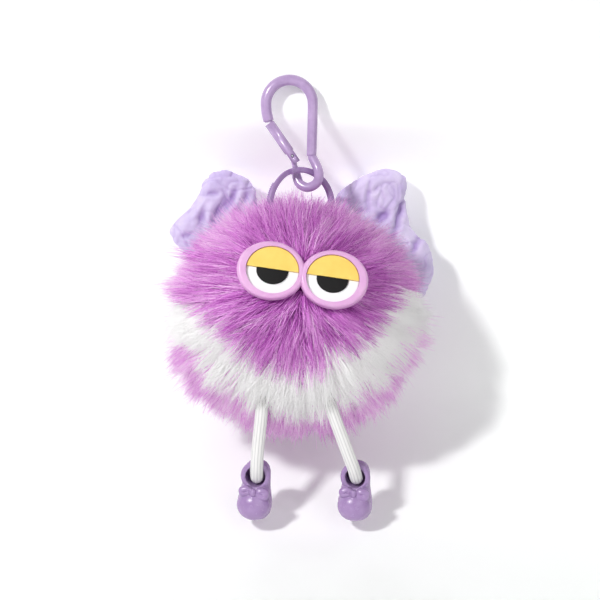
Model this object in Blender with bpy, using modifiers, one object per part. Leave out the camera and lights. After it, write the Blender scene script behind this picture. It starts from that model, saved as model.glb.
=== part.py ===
"""Fur-ball bag charm: a spring-gate snap hook, a split ring, and a stuffed fur ball with an eye
plate, two padded wings and two cord legs that end in moulded shoes.

The charm hangs upright. The origin is the inside top of the hook, where a bag's strap bears.
+Z is up, the face looks towards -Y, and +X is to the right of someone looking at the face.
"""

import math

import bmesh
import bpy
from mathutils import Matrix, Vector

MM = 0.001
GAP = 0.3 * MM  # clearance between pieces that touch

# Snap hook
HOOK_RADIUS = 9.8 * MM  # centreline of the bend
WIRE_RADIUS = 2.1 * MM
EYE_WIRE_RADIUS = 1.95 * MM
TANG_RADIUS = 1.1 * MM  # flattened wire end inside the gate's fork
EYE_TWIST = 2.2 * MM  # how far the eye's two strands stand before and behind the hook's plane
GATE_PIVOT = Vector((1.22, 0, -29.9)) * MM
GATE_NOSE = Vector((-8.6, 0, -15.75)) * MM  # where the gate meets the hook's nose
GATE_RADIUS = 2.15 * MM
GATE_TAIL = 3.2 * MM  # fork length below the pin
GATE_BORE_RADIUS = 1.3 * MM
GATE_BORE_LENGTH = 9.0 * MM  # above the fork
FORK_SLOT = 2.7 * MM
FORK_TOP = 2.2 * MM  # slot length above the pin
PIN_RADIUS = 0.6 * MM
PIN_LENGTH = 3.7 * MM
PIN_HOLE_RADIUS = 0.75 * MM
SPRING_RADIUS = 0.9 * MM
SPRING_WIRE_RADIUS = 0.14 * MM
SPRING_TURNS = 7

# Split ring
RING_RADIUS = 14.6 * MM  # centreline
RING_CENTRE = Vector((4.87, -1.24, -50.3)) * MM
RING_YAW = math.radians(28)
RING_WIDTH = 2.3 * MM  # radial width of the flattened wire
RING_LAYER = 1.2 * MM  # thickness of one turn
RING_PITCH = 1.3 * MM  # from one turn to the next
RING_SPLIT = math.radians(128)  # where the turns change over
RING_CHANGEOVER = math.radians(16)  # half the change-over's arc

# Ball
BALL_CENTRE = Vector((2.5, 0, -97.8)) * MM
PILE_BODY = Vector((50.5, 37.0, 46.5)) * MM  # half sizes of the firm part of the pile
CORE = Vector((34.0, 28.0, 29.0)) * MM  # half sizes of the stuffing
CORE_POWER = 2.6  # 2 is an ellipsoid, more is fuller
SIDE_SEAM_Y = 8.0 * MM

# Eye plate, in its own frame: x to the right, -y to the front, z up
PLATE_CENTRE = Vector((5.4, -33.0, -79.9)) * MM
PLATE_ROLL = math.radians(7.5)
PLATE_PITCH = math.radians(-14)
EYE_SPACING = 26.6 * MM
RIM_HALF = Vector((13.85, 13.05)) * MM
RIM_DEPTH = 4.0 * MM
RIM_ROUND = 1.2 * MM
WHITE_SPACING = 25.6 * MM
WHITE_HALF = Vector((11.15, 10.15)) * MM
POCKET_FLOOR = 1.2 * MM
PUPIL_HALF = Vector((6.8, 6.0)) * MM
STEM_RADIUS = 1.5 * MM
STEM_LENGTH = 14.2 * MM
WASHER_RADIUS = 4.0 * MM
WASHER_THICKNESS = 1.0 * MM
WASHER_DEPTH = 12.5 * MM  # behind the plate's back

# Wings
WING_Y = 27.0 * MM
WING_THICKNESS = 5.0 * MM
WING_ROOT_X = 14.0 * MM  # hinge line, either side of the ball's middle

# Legs and shoes
LEG_RADIUS = 2.65 * MM
LEG_STEP = 4.5 * MM
SHOE_HALF = Vector((7.1, 6.2, 12.9)) * MM
SHOE_PIVOT_UP = 7.0 * MM  # from the shoe's middle up to the ankle
SHOE_OPENING = Vector((4.2, 4.3)) * MM
KNOT_RADIUS = 2.9 * MM

PARTS = "fur_ball_charm"
CUTTERS = "cutters"


# ---------------------------------------------------------------- helpers


def clear_scene():
    for obj in list(bpy.data.objects):
        bpy.data.objects.remove(obj, do_unlink=True)
    for name in (PARTS, CUTTERS):
        bpy.context.scene.collection.children.link(bpy.data.collections.new(name))


def material(name, colour, roughness, metallic=0.0):
    made = bpy.data.materials.new(name)
    made.use_nodes = True
    shader = made.node_tree.nodes["Principled BSDF"]
    shader.inputs["Base Color"].default_value = (*colour, 1)
    shader.inputs["Roughness"].default_value = roughness
    shader.inputs["Metallic"].default_value = metallic
    return made


def link(obj, collection):
    bpy.data.collections[collection].objects.link(obj)
    return obj


def cutter(obj):
    obj.hide_render = True
    obj.display_type = "WIRE"
    return obj


def from_bmesh(bm, name, collection=PARTS):
    bmesh.ops.recalc_face_normals(bm, faces=bm.faces)
    if bm.calc_volume(signed=True) < 0:
        bmesh.ops.reverse_faces(bm, faces=bm.faces)
    mesh = bpy.data.meshes.new(name)
    bm.to_mesh(mesh)
    bm.free()
    return link(bpy.data.objects.new(name, mesh), collection)


def freeze(obj, name, collection=PARTS):
    """The evaluated shape of obj as a plain mesh object in world space; obj is removed."""
    bpy.context.view_layer.update()
    graph = bpy.context.evaluated_depsgraph_get()
    mesh = bpy.data.meshes.new_from_object(obj.evaluated_get(graph))
    mesh.transform(obj.matrix_world)
    bm = bmesh.new()
    bm.from_mesh(mesh)
    bmesh.ops.remove_doubles(bm, verts=bm.verts, dist=1e-6)
    bpy.data.objects.remove(obj, do_unlink=True)
    bpy.data.meshes.remove(mesh)
    return from_bmesh(bm, name, collection)


def combine(obj, other, operation="DIFFERENCE"):
    modifier = obj.modifiers.new(f"{operation.lower()}_{other.name}", "BOOLEAN")
    modifier.operation = operation
    modifier.object = other
    cutter(other)
    return obj


def smooth_route(points, step):
    """Points about one step apart on a Catmull-Rom curve through the given points."""
    ends = [2 * points[0] - points[1], *points, 2 * points[-1] - points[-2]]
    route = []
    for i in range(1, len(ends) - 2):
        a, b, c, d = ends[i - 1 : i + 3]
        pieces = max(1, round((c - b).length / step))
        for k in range(pieces):
            t = k / pieces
            route.append(
                0.5 * (2 * b + (c - a) * t + (2 * a - 5 * b + 4 * c - d) * t**2
                       + (3 * b - a - 3 * c + d) * t**3)
            )
    route.append(points[-1].copy())
    return route


def closed_outline(points, per_side=4):
    """A closed Catmull-Rom outline through 2D points."""
    count = len(points)
    outline = []
    for i in range(count):
        a, b, c, d = (points[(i + k - 1) % count] for k in range(4))
        for k in range(per_side):
            t = k / per_side
            outline.append(
                0.5 * (2 * b + (c - a) * t + (2 * a - 5 * b + 4 * c - d) * t**2
                       + (3 * b - a - 3 * c + d) * t**3)
            )
    return outline


def tube(name, route, radius, factors=None, resolution=2, collection=PARTS):
    """A round wire along a route, with the radius factor of each point."""
    curve = bpy.data.curves.new(name, "CURVE")
    curve.dimensions = "3D"
    curve.bevel_depth = radius
    curve.bevel_resolution = resolution
    curve.use_fill_caps = True
    spline = curve.splines.new("POLY")
    spline.points.add(len(route) - 1)
    for i, place in enumerate(route):
        spline.points[i].co = (*place, 1)
        spline.points[i].radius = factors[i] if factors else 1.0
    return freeze(link(bpy.data.objects.new(name, curve), collection), name, collection)


def slab(name, outline, low_y, high_y, rounding=0.0, collection=PARTS):
    """A flat plate with an XZ outline, between two values of y."""
    curve = bpy.data.curves.new(name, "CURVE")
    curve.dimensions = "2D"
    curve.fill_mode = "BOTH"
    curve.extrude = (high_y - low_y) / 2 - rounding
    curve.bevel_depth = rounding
    curve.bevel_resolution = 1
    curve.offset = -rounding
    spline = curve.splines.new("POLY")
    spline.points.add(len(outline) - 1)
    for point, (x, z) in zip(spline.points, outline):
        point.co = (x, z, 0, 1)
    spline.use_cyclic_u = True
    obj = link(bpy.data.objects.new(name, curve), collection)
    obj.matrix_world = Matrix.Translation((0, (low_y + high_y) / 2, 0)) @ Matrix.Rotation(
        math.pi / 2, 4, "X"
    )
    return freeze(obj, name, collection)


def rod(name, start, end, radius, sides=24, collection=PARTS):
    """A cylinder between two points."""
    bm = bmesh.new()
    bmesh.ops.create_cone(
        bm, cap_ends=True, segments=sides, radius1=radius, radius2=radius, depth=(end - start).length
    )
    turn = (end - start).to_track_quat("Z", "Y").to_matrix().to_4x4()
    bm.transform(Matrix.Translation((start + end) / 2) @ turn)
    return from_bmesh(bm, name, collection)


def block(name, low, high, collection=CUTTERS):
    bm = bmesh.new()
    bmesh.ops.create_cube(bm, size=1)
    low, high = Vector(low), Vector(high)
    bm.transform(Matrix.Translation((low + high) / 2) @ Matrix.Diagonal((*(high - low), 1)))
    return from_bmesh(bm, name, collection)


def ellipsoid(name, centre, half, power=2.0, collection=PARTS, around=28, along=16):
    """An ellipsoid, or with a power over 2 a fuller, squarer one."""
    bm = bmesh.new()
    bmesh.ops.create_uvsphere(bm, u_segments=around, v_segments=along, radius=1)
    for vertex in bm.verts:
        size = sum(abs(v) ** power for v in vertex.co) ** (1 / power)
        vertex.co = Vector(v / size * h for v, h in zip(vertex.co, half)) + centre
    return from_bmesh(bm, name, collection)


def oval_disc(name, half, front, back, rounding, spacing=0.0, collection=PARTS, steps=32):
    """A turned disc with a rounded front edge, stretched to an oval, facing -y."""
    profile = [(0, -front)]
    for i in range(4):
        turn = i * math.pi / 6
        edge = half.x - rounding * (1 - math.sin(turn))
        profile.append((edge, -front + rounding * (1 - math.cos(turn))))
    profile += [(half.x, -back), (0, -back)]
    mesh = bpy.data.meshes.new(name)
    mesh.from_pydata([(x, 0, -y) for x, y in profile], [(i, i + 1) for i in range(len(profile) - 1)], [])
    obj = link(bpy.data.objects.new(name, mesh), collection)
    turned = obj.modifiers.new("turned", "SCREW")
    turned.steps = turned.render_steps = steps
    turned.use_merge_vertices = True
    turned.merge_threshold = 1e-6
    obj.matrix_world = (
        Matrix.Translation((spacing, 0, 0))
        @ Matrix.Diagonal((1, 1, half.y / half.x, 1))
        @ Matrix.Rotation(math.pi / 2, 4, "X")
    )
    return freeze(obj, name, collection)


def halved(obj, normal):
    """Keeps the half of a mesh on the side that normal points to, closed at the cut through z = 0."""
    bm = bmesh.new()
    bm.from_mesh(obj.data)
    geometry = bm.verts[:] + bm.edges[:] + bm.faces[:]
    cut = bmesh.ops.bisect_plane(
        bm, geom=geometry, plane_co=normal * GAP / 6, plane_no=-normal, clear_outer=True
    )
    edges = [part for part in cut["geom_cut"] if isinstance(part, bmesh.types.BMEdge)]
    bmesh.ops.contextual_create(bm, geom=edges)
    bmesh.ops.recalc_face_normals(bm, faces=bm.faces)
    bm.to_mesh(obj.data)
    bm.free()
    return obj


def finish(obj, look, pivot=None):
    """Gives a piece its material, smooth shading and, if it moves, a parent on its joint's axis."""
    obj.data.materials.clear()
    obj.data.materials.append(look)
    obj.data.shade_smooth()
    obj.data.set_sharp_from_angle(angle=math.radians(40))
    if pivot:
        obj.parent = pivot
        obj.matrix_parent_inverse = Matrix.Translation(-pivot.location)
    return obj


def pivot_at(name, place):
    empty = bpy.data.objects.new(name, None)
    empty.empty_display_size = 5 * MM
    empty.location = place
    return link(empty, PARTS)


# ---------------------------------------------------------------- snap hook


def hook_route():
    """Route of the hook's wire, from the nose over the top and round the eye, with radius factors."""
    centre = Vector((0, 0, WIRE_RADIUS - HOOK_RADIUS))
    nose = [Vector((-8.74, 0, -15.1)) * MM, Vector((-9.58, 0, -11.3)) * MM]
    bend = [
        centre + HOOK_RADIUS * Vector((-math.cos(turn), 0, math.sin(turn)))
        for turn in (i * math.pi / 12 for i in range(13))
    ]
    spine = [Vector((9.7, 0, -15)) * MM, Vector((9.5, 0, -22)) * MM, Vector((9.3, 0, -29.4)) * MM]
    twist = EYE_TWIST / MM
    eye = [
        Vector(place) * MM
        for place in (
            (9.35, 0, -29.7), (10.6, -0.45 * twist, -32.4), (11.9, -0.95 * twist, -35.4),
            (12.4, -twist, -38.2), (11.2, -0.6 * twist, -41.4), (7.8, 0, -43.0),
            (4.5, 0.6 * twist, -41.6), (3.1, twist, -38.4), (2.8, 0.85 * twist, -36.4),
        )
    ]
    tang = [Vector((2.5, 0.9, -34.9)) * MM, Vector((2.2, 0.1, -33.9)) * MM, Vector((0.9, 0, -28.6)) * MM]
    route = smooth_route(nose + bend + spine, 2.4 * MM)
    factors = [1.0] * len(route)
    eye_route = smooth_route(eye, 1.5 * MM)
    route += eye_route + tang
    factors += [EYE_WIRE_RADIUS / WIRE_RADIUS] * (len(eye_route) - 1)
    factors += [0.8, 0.6, TANG_RADIUS / WIRE_RADIUS, TANG_RADIUS / WIRE_RADIUS]
    return route, factors


def make_snap_hook(looks):
    route, factors = hook_route()
    hook = tube("carabiner_hook", route, WIRE_RADIUS, factors, resolution=3)
    across = Vector((0, GATE_RADIUS * 2, 0))
    hole = rod("pin_hole", GATE_PIVOT - across, GATE_PIVOT + across, PIN_HOLE_RADIUS, 16, CUTTERS)
    combine(hook, hole)
    finish(hook, looks["lacquer"])

    half_pin = Vector((0, PIN_LENGTH / 2, 0))
    pin = rod("gate_pivot_pin", GATE_PIVOT - half_pin, GATE_PIVOT + half_pin, PIN_RADIUS, 16)
    finish(pin, looks["steel"])

    axis = (GATE_NOSE - GATE_PIVOT).normalized()
    pivot = pivot_at("gate_pivot", GATE_PIVOT)
    top = GATE_NOSE - axis * 1.5 * GAP
    gate = rod("carabiner_gate", GATE_PIVOT - axis * GATE_TAIL, top, GATE_RADIUS)
    slot_top = GATE_PIVOT + axis * FORK_TOP
    slot = block(
        "fork_slot",
        (-4 * MM, -FORK_SLOT / 2, -GATE_TAIL - 1 * MM),
        (4 * MM, FORK_SLOT / 2, FORK_TOP),
    )
    lean = math.atan2(axis.x, axis.z)
    slot.data.transform(Matrix.Translation(GATE_PIVOT) @ Matrix.Rotation(lean, 4, "Y"))
    bore_top = slot_top + axis * GATE_BORE_LENGTH
    bore = rod("gate_bore", slot_top - axis * MM, bore_top, GATE_BORE_RADIUS, 20, CUTTERS)
    for shape in (slot, bore, hole):
        combine(gate, shape)
    finish(gate, looks["lacquer"], pivot)

    plunger_top = slot_top + axis * 2.4 * MM
    plunger = rod("gate_plunger", slot_top + axis * 0.2 * MM, plunger_top, 1.05 * MM, 20)
    finish(plunger, looks["steel"], pivot)

    length = (bore_top - plunger_top).length - 2 * GAP
    turn_points = 10
    coil = []
    for i in range(SPRING_TURNS * turn_points + 1):
        turn = i * math.tau / turn_points
        rise = GAP + SPRING_WIRE_RADIUS + (length - 2 * SPRING_WIRE_RADIUS) * i / (SPRING_TURNS * turn_points)
        coil.append(Vector((SPRING_RADIUS * math.cos(turn), SPRING_RADIUS * math.sin(turn), rise)))
    turn = axis.to_track_quat("Z", "Y").to_matrix().to_4x4()
    place = Matrix.Translation(plunger_top) @ turn
    spring = tube("gate_spring", [place @ point for point in coil], SPRING_WIRE_RADIUS, resolution=0)
    finish(spring, looks["steel"], pivot)


# ---------------------------------------------------------------- split ring and tab


def ring_frame():
    """The ring's own frame: x along the ring's plane, y through it, z up."""
    return Matrix.Translation(RING_CENTRE) @ Matrix.Rotation(RING_YAW, 4, "Z")


def ring_layer(turn):
    """How far through the ring's thickness the wire's middle is, at an angle of its two turns."""
    early = math.tau - RING_CHANGEOVER
    late = math.tau + RING_CHANGEOVER
    share = min(1.0, max(0.0, (turn - early) / (late - early)))
    return RING_PITCH * (share * share * (3 - 2 * share) - 0.5)


def make_split_ring(looks):
    half_width, half_layer, chamfer = RING_WIDTH / 2, RING_LAYER / 2, 0.35 * MM
    section = bpy.data.curves.new("ring_section", "CURVE")
    corners = [
        (x * half_width - inset_x * x, y * half_layer - inset_y * y)
        for x, y, inset_x, inset_y in (
            (1, -1, chamfer, 0), (1, -1, 0, chamfer), (1, 1, 0, chamfer), (1, 1, chamfer, 0),
            (-1, 1, chamfer, 0), (-1, 1, 0, chamfer), (-1, -1, 0, chamfer), (-1, -1, chamfer, 0),
        )
    ]
    outline = section.splines.new("POLY")
    outline.points.add(len(corners) - 1)
    for point, (x, y) in zip(outline.points, corners):
        point.co = (x, y, 0, 1)
    outline.use_cyclic_u = True
    section_holder = link(bpy.data.objects.new("ring_section", section), CUTTERS)

    steps = 68
    first = RING_CHANGEOVER * 1.1
    last = 2 * math.tau - RING_CHANGEOVER * 1.1
    wire = bpy.data.curves.new("split_ring", "CURVE")
    wire.dimensions = "3D"
    wire.twist_mode = "Z_UP"
    wire.bevel_mode = "OBJECT"
    wire.bevel_object = section_holder
    wire.use_fill_caps = True
    spline = wire.splines.new("POLY")
    spline.points.add(steps)
    for i, point in enumerate(spline.points):
        turn = first + (last - first) * i / steps
        angle = RING_SPLIT - turn
        point.co = (RING_RADIUS * math.cos(angle), RING_RADIUS * math.sin(angle), -ring_layer(turn), 1)
    ring = link(bpy.data.objects.new("split_ring", wire), PARTS)
    ring.matrix_world = ring_frame() @ Matrix.Rotation(math.pi / 2, 4, "X")
    ring = freeze(ring, "split_ring")
    bpy.data.objects.remove(section_holder, do_unlink=True)
    ring_eye = ring_frame() @ Vector((2.6 * MM, 0, 14.4 * MM))
    finish(ring, looks["lacquer"], pivot_at("ring_swing", ring_eye))


def make_hanging_tab(looks, pivot):
    """A strip of webbing folded round the ring's lowest point and sewn into the ball's crown."""
    width, thick = 7.0 * MM, 0.9 * MM
    hole = Vector((2.2, 2.4)) * MM
    outer = hole + Vector((thick, thick))
    base = -RING_RADIUS
    loop = []
    for i in range(17):
        turn = math.radians(-62) + i * math.radians(304) / 16
        loop.append((outer.x * math.cos(turn), base + outer.y * math.sin(turn)))
    tail = [(-thick, base - 8.0 * MM), (thick, base - 8.0 * MM)]
    tab = slab("hanging_tab", loop + tail, -width / 2, width / 2)
    gap = [
        (hole.x * math.cos(i * math.tau / 16), base + hole.y * math.sin(i * math.tau / 16))
        for i in range(16)
    ]
    window = slab("tab_window", gap, -width, width, collection=CUTTERS)
    for shape in (tab, window):
        shape.data.transform(ring_frame() @ Matrix.Rotation(math.pi / 2, 4, "Z"))
    combine(tab, window)
    finish(tab, looks["webbing"], pivot)


# ---------------------------------------------------------------- ball


def band_edge(heights, reach=70 * MM):
    """An edge of the white band across the front, as XZ points from left to right."""
    return [Vector((x, z)) * MM for x, z in heights]


UPPER_EDGE = (
    (-70, -86), (-51, -89), (-40, -99), (-30, -103), (-19.5, -111), (-10, -118), (5, -124),
    (16, -117), (26.5, -114), (38, -107.5), (46, -97), (53, -89), (75, -85),
)
LOWER_EDGE = (
    (-70, -104), (-51, -106), (-40, -113), (-35, -124), (-27, -129), (-19.5, -136), (-8, -139),
    (7, -141.5), (19, -138), (29, -133.5), (41, -126), (49, -118), (52, -111), (57, -101), (75, -98),
)


def region(name, lower, upper):
    """A cutter through the front of the ball, between two edges."""
    outline = list(lower) + list(reversed(upper))
    return slab(name, outline, -80 * MM, 60 * MM, collection=CUTTERS)


def make_ball(looks, pivot, plate_frame):
    grown = Vector((GAP, GAP, GAP))
    core = ellipsoid("stuffing_core", BALL_CENTRE, CORE, CORE_POWER)
    core_room = ellipsoid("core_room", BALL_CENTRE, CORE + grown, CORE_POWER, CUTTERS)

    upper = band_edge(UPPER_EDGE)
    lower = band_edge(LOWER_EDGE)
    shift = Vector((0, GAP / 2))
    sky = [Vector((x, 0)) * MM for x in (-70, 75)]
    ground = [Vector((x, -190)) * MM for x in (-70, 75)]
    above = region("above_band", [p + shift for p in upper], sky)
    within = region("within_band", [p + shift for p in lower], [p - shift for p in upper])
    below = region("below_band", ground, [p - shift for p in lower])

    front_half = block(
        "front_half", Vector((-80, -80, -190)) * MM, Vector((80 * MM, SIDE_SEAM_Y - GAP / 2, 0))
    )
    back_half = block(
        "back_half", Vector((-80 * MM, SIDE_SEAM_Y + GAP / 2, -190 * MM)), Vector((80, 80, 0)) * MM
    )

    crown = ring_slot()
    recess = plate_recess(plate_frame)
    stems = stem_rooms(plate_frame)
    legs = leg_rooms()
    wings = wing_rooms()

    for name, share, half, cuts in (
        ("face_fur_panel", above, front_half, [crown, recess, *stems]),
        ("white_fur_band", within, front_half, legs),
        ("lower_fur_panel", below, front_half, legs),
        ("back_fur_panel", None, back_half, [crown, *wings]),
    ):
        panel = ellipsoid(name, BALL_CENTRE, PILE_BODY)
        combine(panel, core_room)
        combine(panel, half, "INTERSECT")
        if share:
            combine(panel, share, "INTERSECT")
        for shape in cuts:
            combine(panel, shape)
        look = looks["white_fur"] if name == "white_fur_band" else looks["orchid_fur"]
        finish(panel, look, pivot)

    tail = block("tab_tail_room", (-4.2 * MM, -2.0 * MM, -24.2 * MM), (4.2 * MM, 2.0 * MM, -12 * MM))
    tail.data.transform(ring_frame())
    for shape in (tail, *washer_rooms(plate_frame), *stems):
        combine(core, shape)
    finish(core, looks["stuffing"], pivot)


def ring_slot():
    """Room in the crown's pile for the ring, as far as it tips to and fro."""
    half_low, half_high = 3.8 * MM, 15.0 * MM
    outline = [
        (-half_low, -RING_RADIUS - 5.0 * MM), (half_low, -RING_RADIUS - 5.0 * MM),
        (half_high, 6 * MM), (-half_high, 6 * MM),
    ]
    slot = slab("ring_slot", outline, -17.2 * MM, 17.2 * MM, collection=CUTTERS)
    slot.data.transform(ring_frame() @ Matrix.Rotation(math.pi / 2, 4, "Z"))
    return slot


def fan(name, hip, rest, inward, outward):
    """Room in the front pile for a leg, as far as it swings sideways about its hip."""
    reach = 40 * MM
    outline = [hip + Vector((-3.4, 4.0)) * MM]
    for angle in (rest - inward, rest, rest + outward):
        outline.append(hip + reach * Vector((math.sin(angle), -math.cos(angle))))
    outline[1] += Vector((-5.0, 0)) * MM
    outline[-1] += Vector((5.0, 0)) * MM
    outline.append(hip + Vector((3.4, 4.0)) * MM)
    return slab(name, outline, -70 * MM, -12.6 * MM, collection=CUTTERS)


def leg_rooms():
    left = Vector((LEFT_LEG[0][0], LEFT_LEG[0][2])) * MM
    right = Vector((RIGHT_LEG[0][0], RIGHT_LEG[0][2])) * MM
    lean_left, lean_right = math.radians(-3), math.radians(20)
    return [
        fan("left_leg_room", left, lean_left, math.radians(32), math.radians(10)),
        fan("right_leg_room", right, lean_right, math.radians(25), math.radians(14)),
    ]


def wing_rooms():
    """Room behind the ball for each wing, from rest to its backward limit."""
    rooms = []
    for name, side, points in (("left_wing_room", -1, LEFT_WING), ("right_wing_room", 1, RIGHT_WING)):
        near = BALL_CENTRE.x + side * (WING_ROOT_X - 1.5 * MM)
        far = BALL_CENTRE.x + side * 62 * MM
        front = WING_Y - WING_THICKNESS / 2 - 2 * GAP
        low = (min(z for _, z in points) - 2.5) * MM
        room = block(name, (min(near, far), front, low), (max(near, far), WING_Y + 34 * MM, -28 * MM))
        rooms.append(room)
    return rooms


# ---------------------------------------------------------------- eye plate


def plate_recess(frame):
    """Room in the pile for the plate."""
    half = RIM_HALF + Vector((0.5, 0.5)) * MM
    waist = math.pi - math.acos(EYE_SPACING / 2 / half.x) - math.radians(2)
    outline = []
    for side in (1, -1):
        for i in range(25):
            turn = waist * (i / 12 - 1)
            x = EYE_SPACING / 2 + half.x * math.cos(turn)
            outline.append((side * x, side * half.y * math.sin(turn)))
    recess = slab("plate_recess", outline, -20 * MM, 0.4 * MM, collection=CUTTERS)
    recess.data.transform(frame)
    return recess


def stem_places(frame, depth):
    return [frame @ Vector((side * EYE_SPACING / 2, depth, 0)) for side in (-1, 1)]


def stem_rooms(frame):
    starts = stem_places(frame, -2 * MM)
    ends = stem_places(frame, STEM_LENGTH + MM)
    return [
        rod(f"stem_room_{i}", start, end, STEM_RADIUS + GAP, 16, CUTTERS)
        for i, (start, end) in enumerate(zip(starts, ends))
    ]


def washer_rooms(frame):
    starts = stem_places(frame, 2 * MM)
    ends = stem_places(frame, WASHER_DEPTH + WASHER_THICKNESS + GAP)
    return [
        rod(f"washer_room_{i}", start, end, WASHER_RADIUS + GAP, 20, CUTTERS)
        for i, (start, end) in enumerate(zip(starts, ends))
    ]


def make_eye_plate(looks, pivot, frame):
    surround = oval_disc("eye_surround", RIM_HALF, RIM_DEPTH, 0, RIM_ROUND, -EYE_SPACING / 2)
    other = oval_disc(
        "right_rim", RIM_HALF, RIM_DEPTH, 0, RIM_ROUND, EYE_SPACING / 2, CUTTERS
    )
    other.data.transform(Matrix.Translation((0, 0, 1e-5 * MM)))
    combine(surround, other, "UNION")
    for i, side in enumerate((-1, 1)):
        middle = Vector((side * EYE_SPACING / 2, 0, 0))
        stem = rod(
            f"stem_{i}", middle - Vector((0, 0.6 * MM, 0)), middle + Vector((0, STEM_LENGTH, 0)),
            STEM_RADIUS, 16, CUTTERS,
        )
        combine(surround, stem, "UNION")
        pocket = oval_disc(
            f"pocket_{i}", WHITE_HALF + Vector((0.12, 0.12)) * MM, RIM_DEPTH + MM, POCKET_FLOOR,
            0.02 * MM, side * WHITE_SPACING / 2, CUTTERS,
        )
        combine(surround, pocket)
    surround = freeze(surround, "eye_surround_solid")
    surround.name = "eye_surround"
    surround.data.transform(frame)
    finish(surround, looks["pink_vinyl"], pivot)

    skin = 0.1 * MM  # between moulded layers
    white_back = POCKET_FLOOR + skin
    white_front = white_back + 1.0 * MM
    lid_back = white_front + skin
    up, down = Vector((0, 0, 1)), Vector((0, 0, -1))
    for side, label in ((-1, "left"), (1, "right")):
        middle = side * WHITE_SPACING / 2
        white = oval_disc(f"{label}_eye_white", WHITE_HALF, white_front, white_back, 0.2 * MM, middle)
        lid = halved(
            oval_disc(f"{label}_eyelid", WHITE_HALF, lid_back + 1.0 * MM, lid_back, 0.3 * MM, middle), up
        )
        pupil = halved(
            oval_disc(f"{label}_pupil", PUPIL_HALF, lid_back + 0.6 * MM, lid_back, 0.2 * MM, middle), down
        )
        for piece, look in ((white, "white_vinyl"), (lid, "yellow_vinyl"), (pupil, "black_vinyl")):
            piece.data.transform(frame)
            finish(piece, looks[look], pivot)
        start = frame @ Vector((side * EYE_SPACING / 2, WASHER_DEPTH, 0))
        end = frame @ Vector((side * EYE_SPACING / 2, WASHER_DEPTH + WASHER_THICKNESS, 0))
        washer = rod(f"{label}_eye_washer", start, end, WASHER_RADIUS)
        reach = (end - start) * 2
        hole = rod(f"{label}_washer_hole", start - reach, end + reach, STEM_RADIUS + 0.15 * MM, 16, CUTTERS)
        combine(washer, hole)
        finish(washer, looks["white_vinyl"], pivot)


# ---------------------------------------------------------------- wings


LEFT_WING = (
    (-13.0, -55.0), (-14.2, -46.0), (-17.2, -40.0), (-26.4, -35.2), (-36.0, -38.2), (-41.2, -46.8),
    (-45.6, -52.4), (-50.6, -58.4), (-49.6, -63.5), (-43.0, -70.5), (-33.0, -75.0), (-20.0, -75.0),
    (-12.5, -68.0),
)
RIGHT_WING = (
    (18.0, -58.0), (19.8, -50.8), (21.2, -45.6), (27.2, -40.2), (33.4, -36.2), (39.4, -34.8),
    (45.2, -35.8), (49.6, -40.0), (51.0, -52.8), (53.4, -59.6), (58.6, -65.2), (61.2, -73.0),
    (59.6, -81.0), (55.0, -88.0), (46.0, -88.0), (36.0, -82.0), (24.0, -76.0), (17.6, -68.0),
)


def make_wings(looks):
    for label, side, points in (("left", -1, LEFT_WING), ("right", 1, RIGHT_WING)):
        outline = closed_outline([Vector(p) * MM for p in points], 3)
        wing = slab(
            f"{label}_wing", outline, WING_Y - WING_THICKNESS / 2, WING_Y + WING_THICKNESS / 2,
            rounding=1.4 * MM,
        )
        root = Vector((BALL_CENTRE.x + side * WING_ROOT_X, WING_Y, -65 * MM))
        finish(wing, looks["lavender_cloth"], pivot_at(f"{label}_wing_hinge", root))


# ---------------------------------------------------------------- legs and shoes


LEFT_LEG = (
    (-10.8, -16.8, -124.4), (-11.2, -20.6, -131), (-11.5, -23.0, -138.4), (-12.4, -24.0, -147),
    (-13.0, -24.0, -153.5), (-13.3, -22.6, -158.6), (-13.4, -19.4, -162.2), (-13.4, -16.6, -163.6),
)
RIGHT_LEG = (
    (14.6, -16.8, -124.4), (16.2, -20.6, -131), (18.6, -23.0, -138.4), (21.8, -24.0, -147),
    (24.4, -24.0, -154.0), (26.3, -22.6, -159.0), (27.4, -19.4, -162.6), (27.8, -16.6, -164.0),
)


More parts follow.
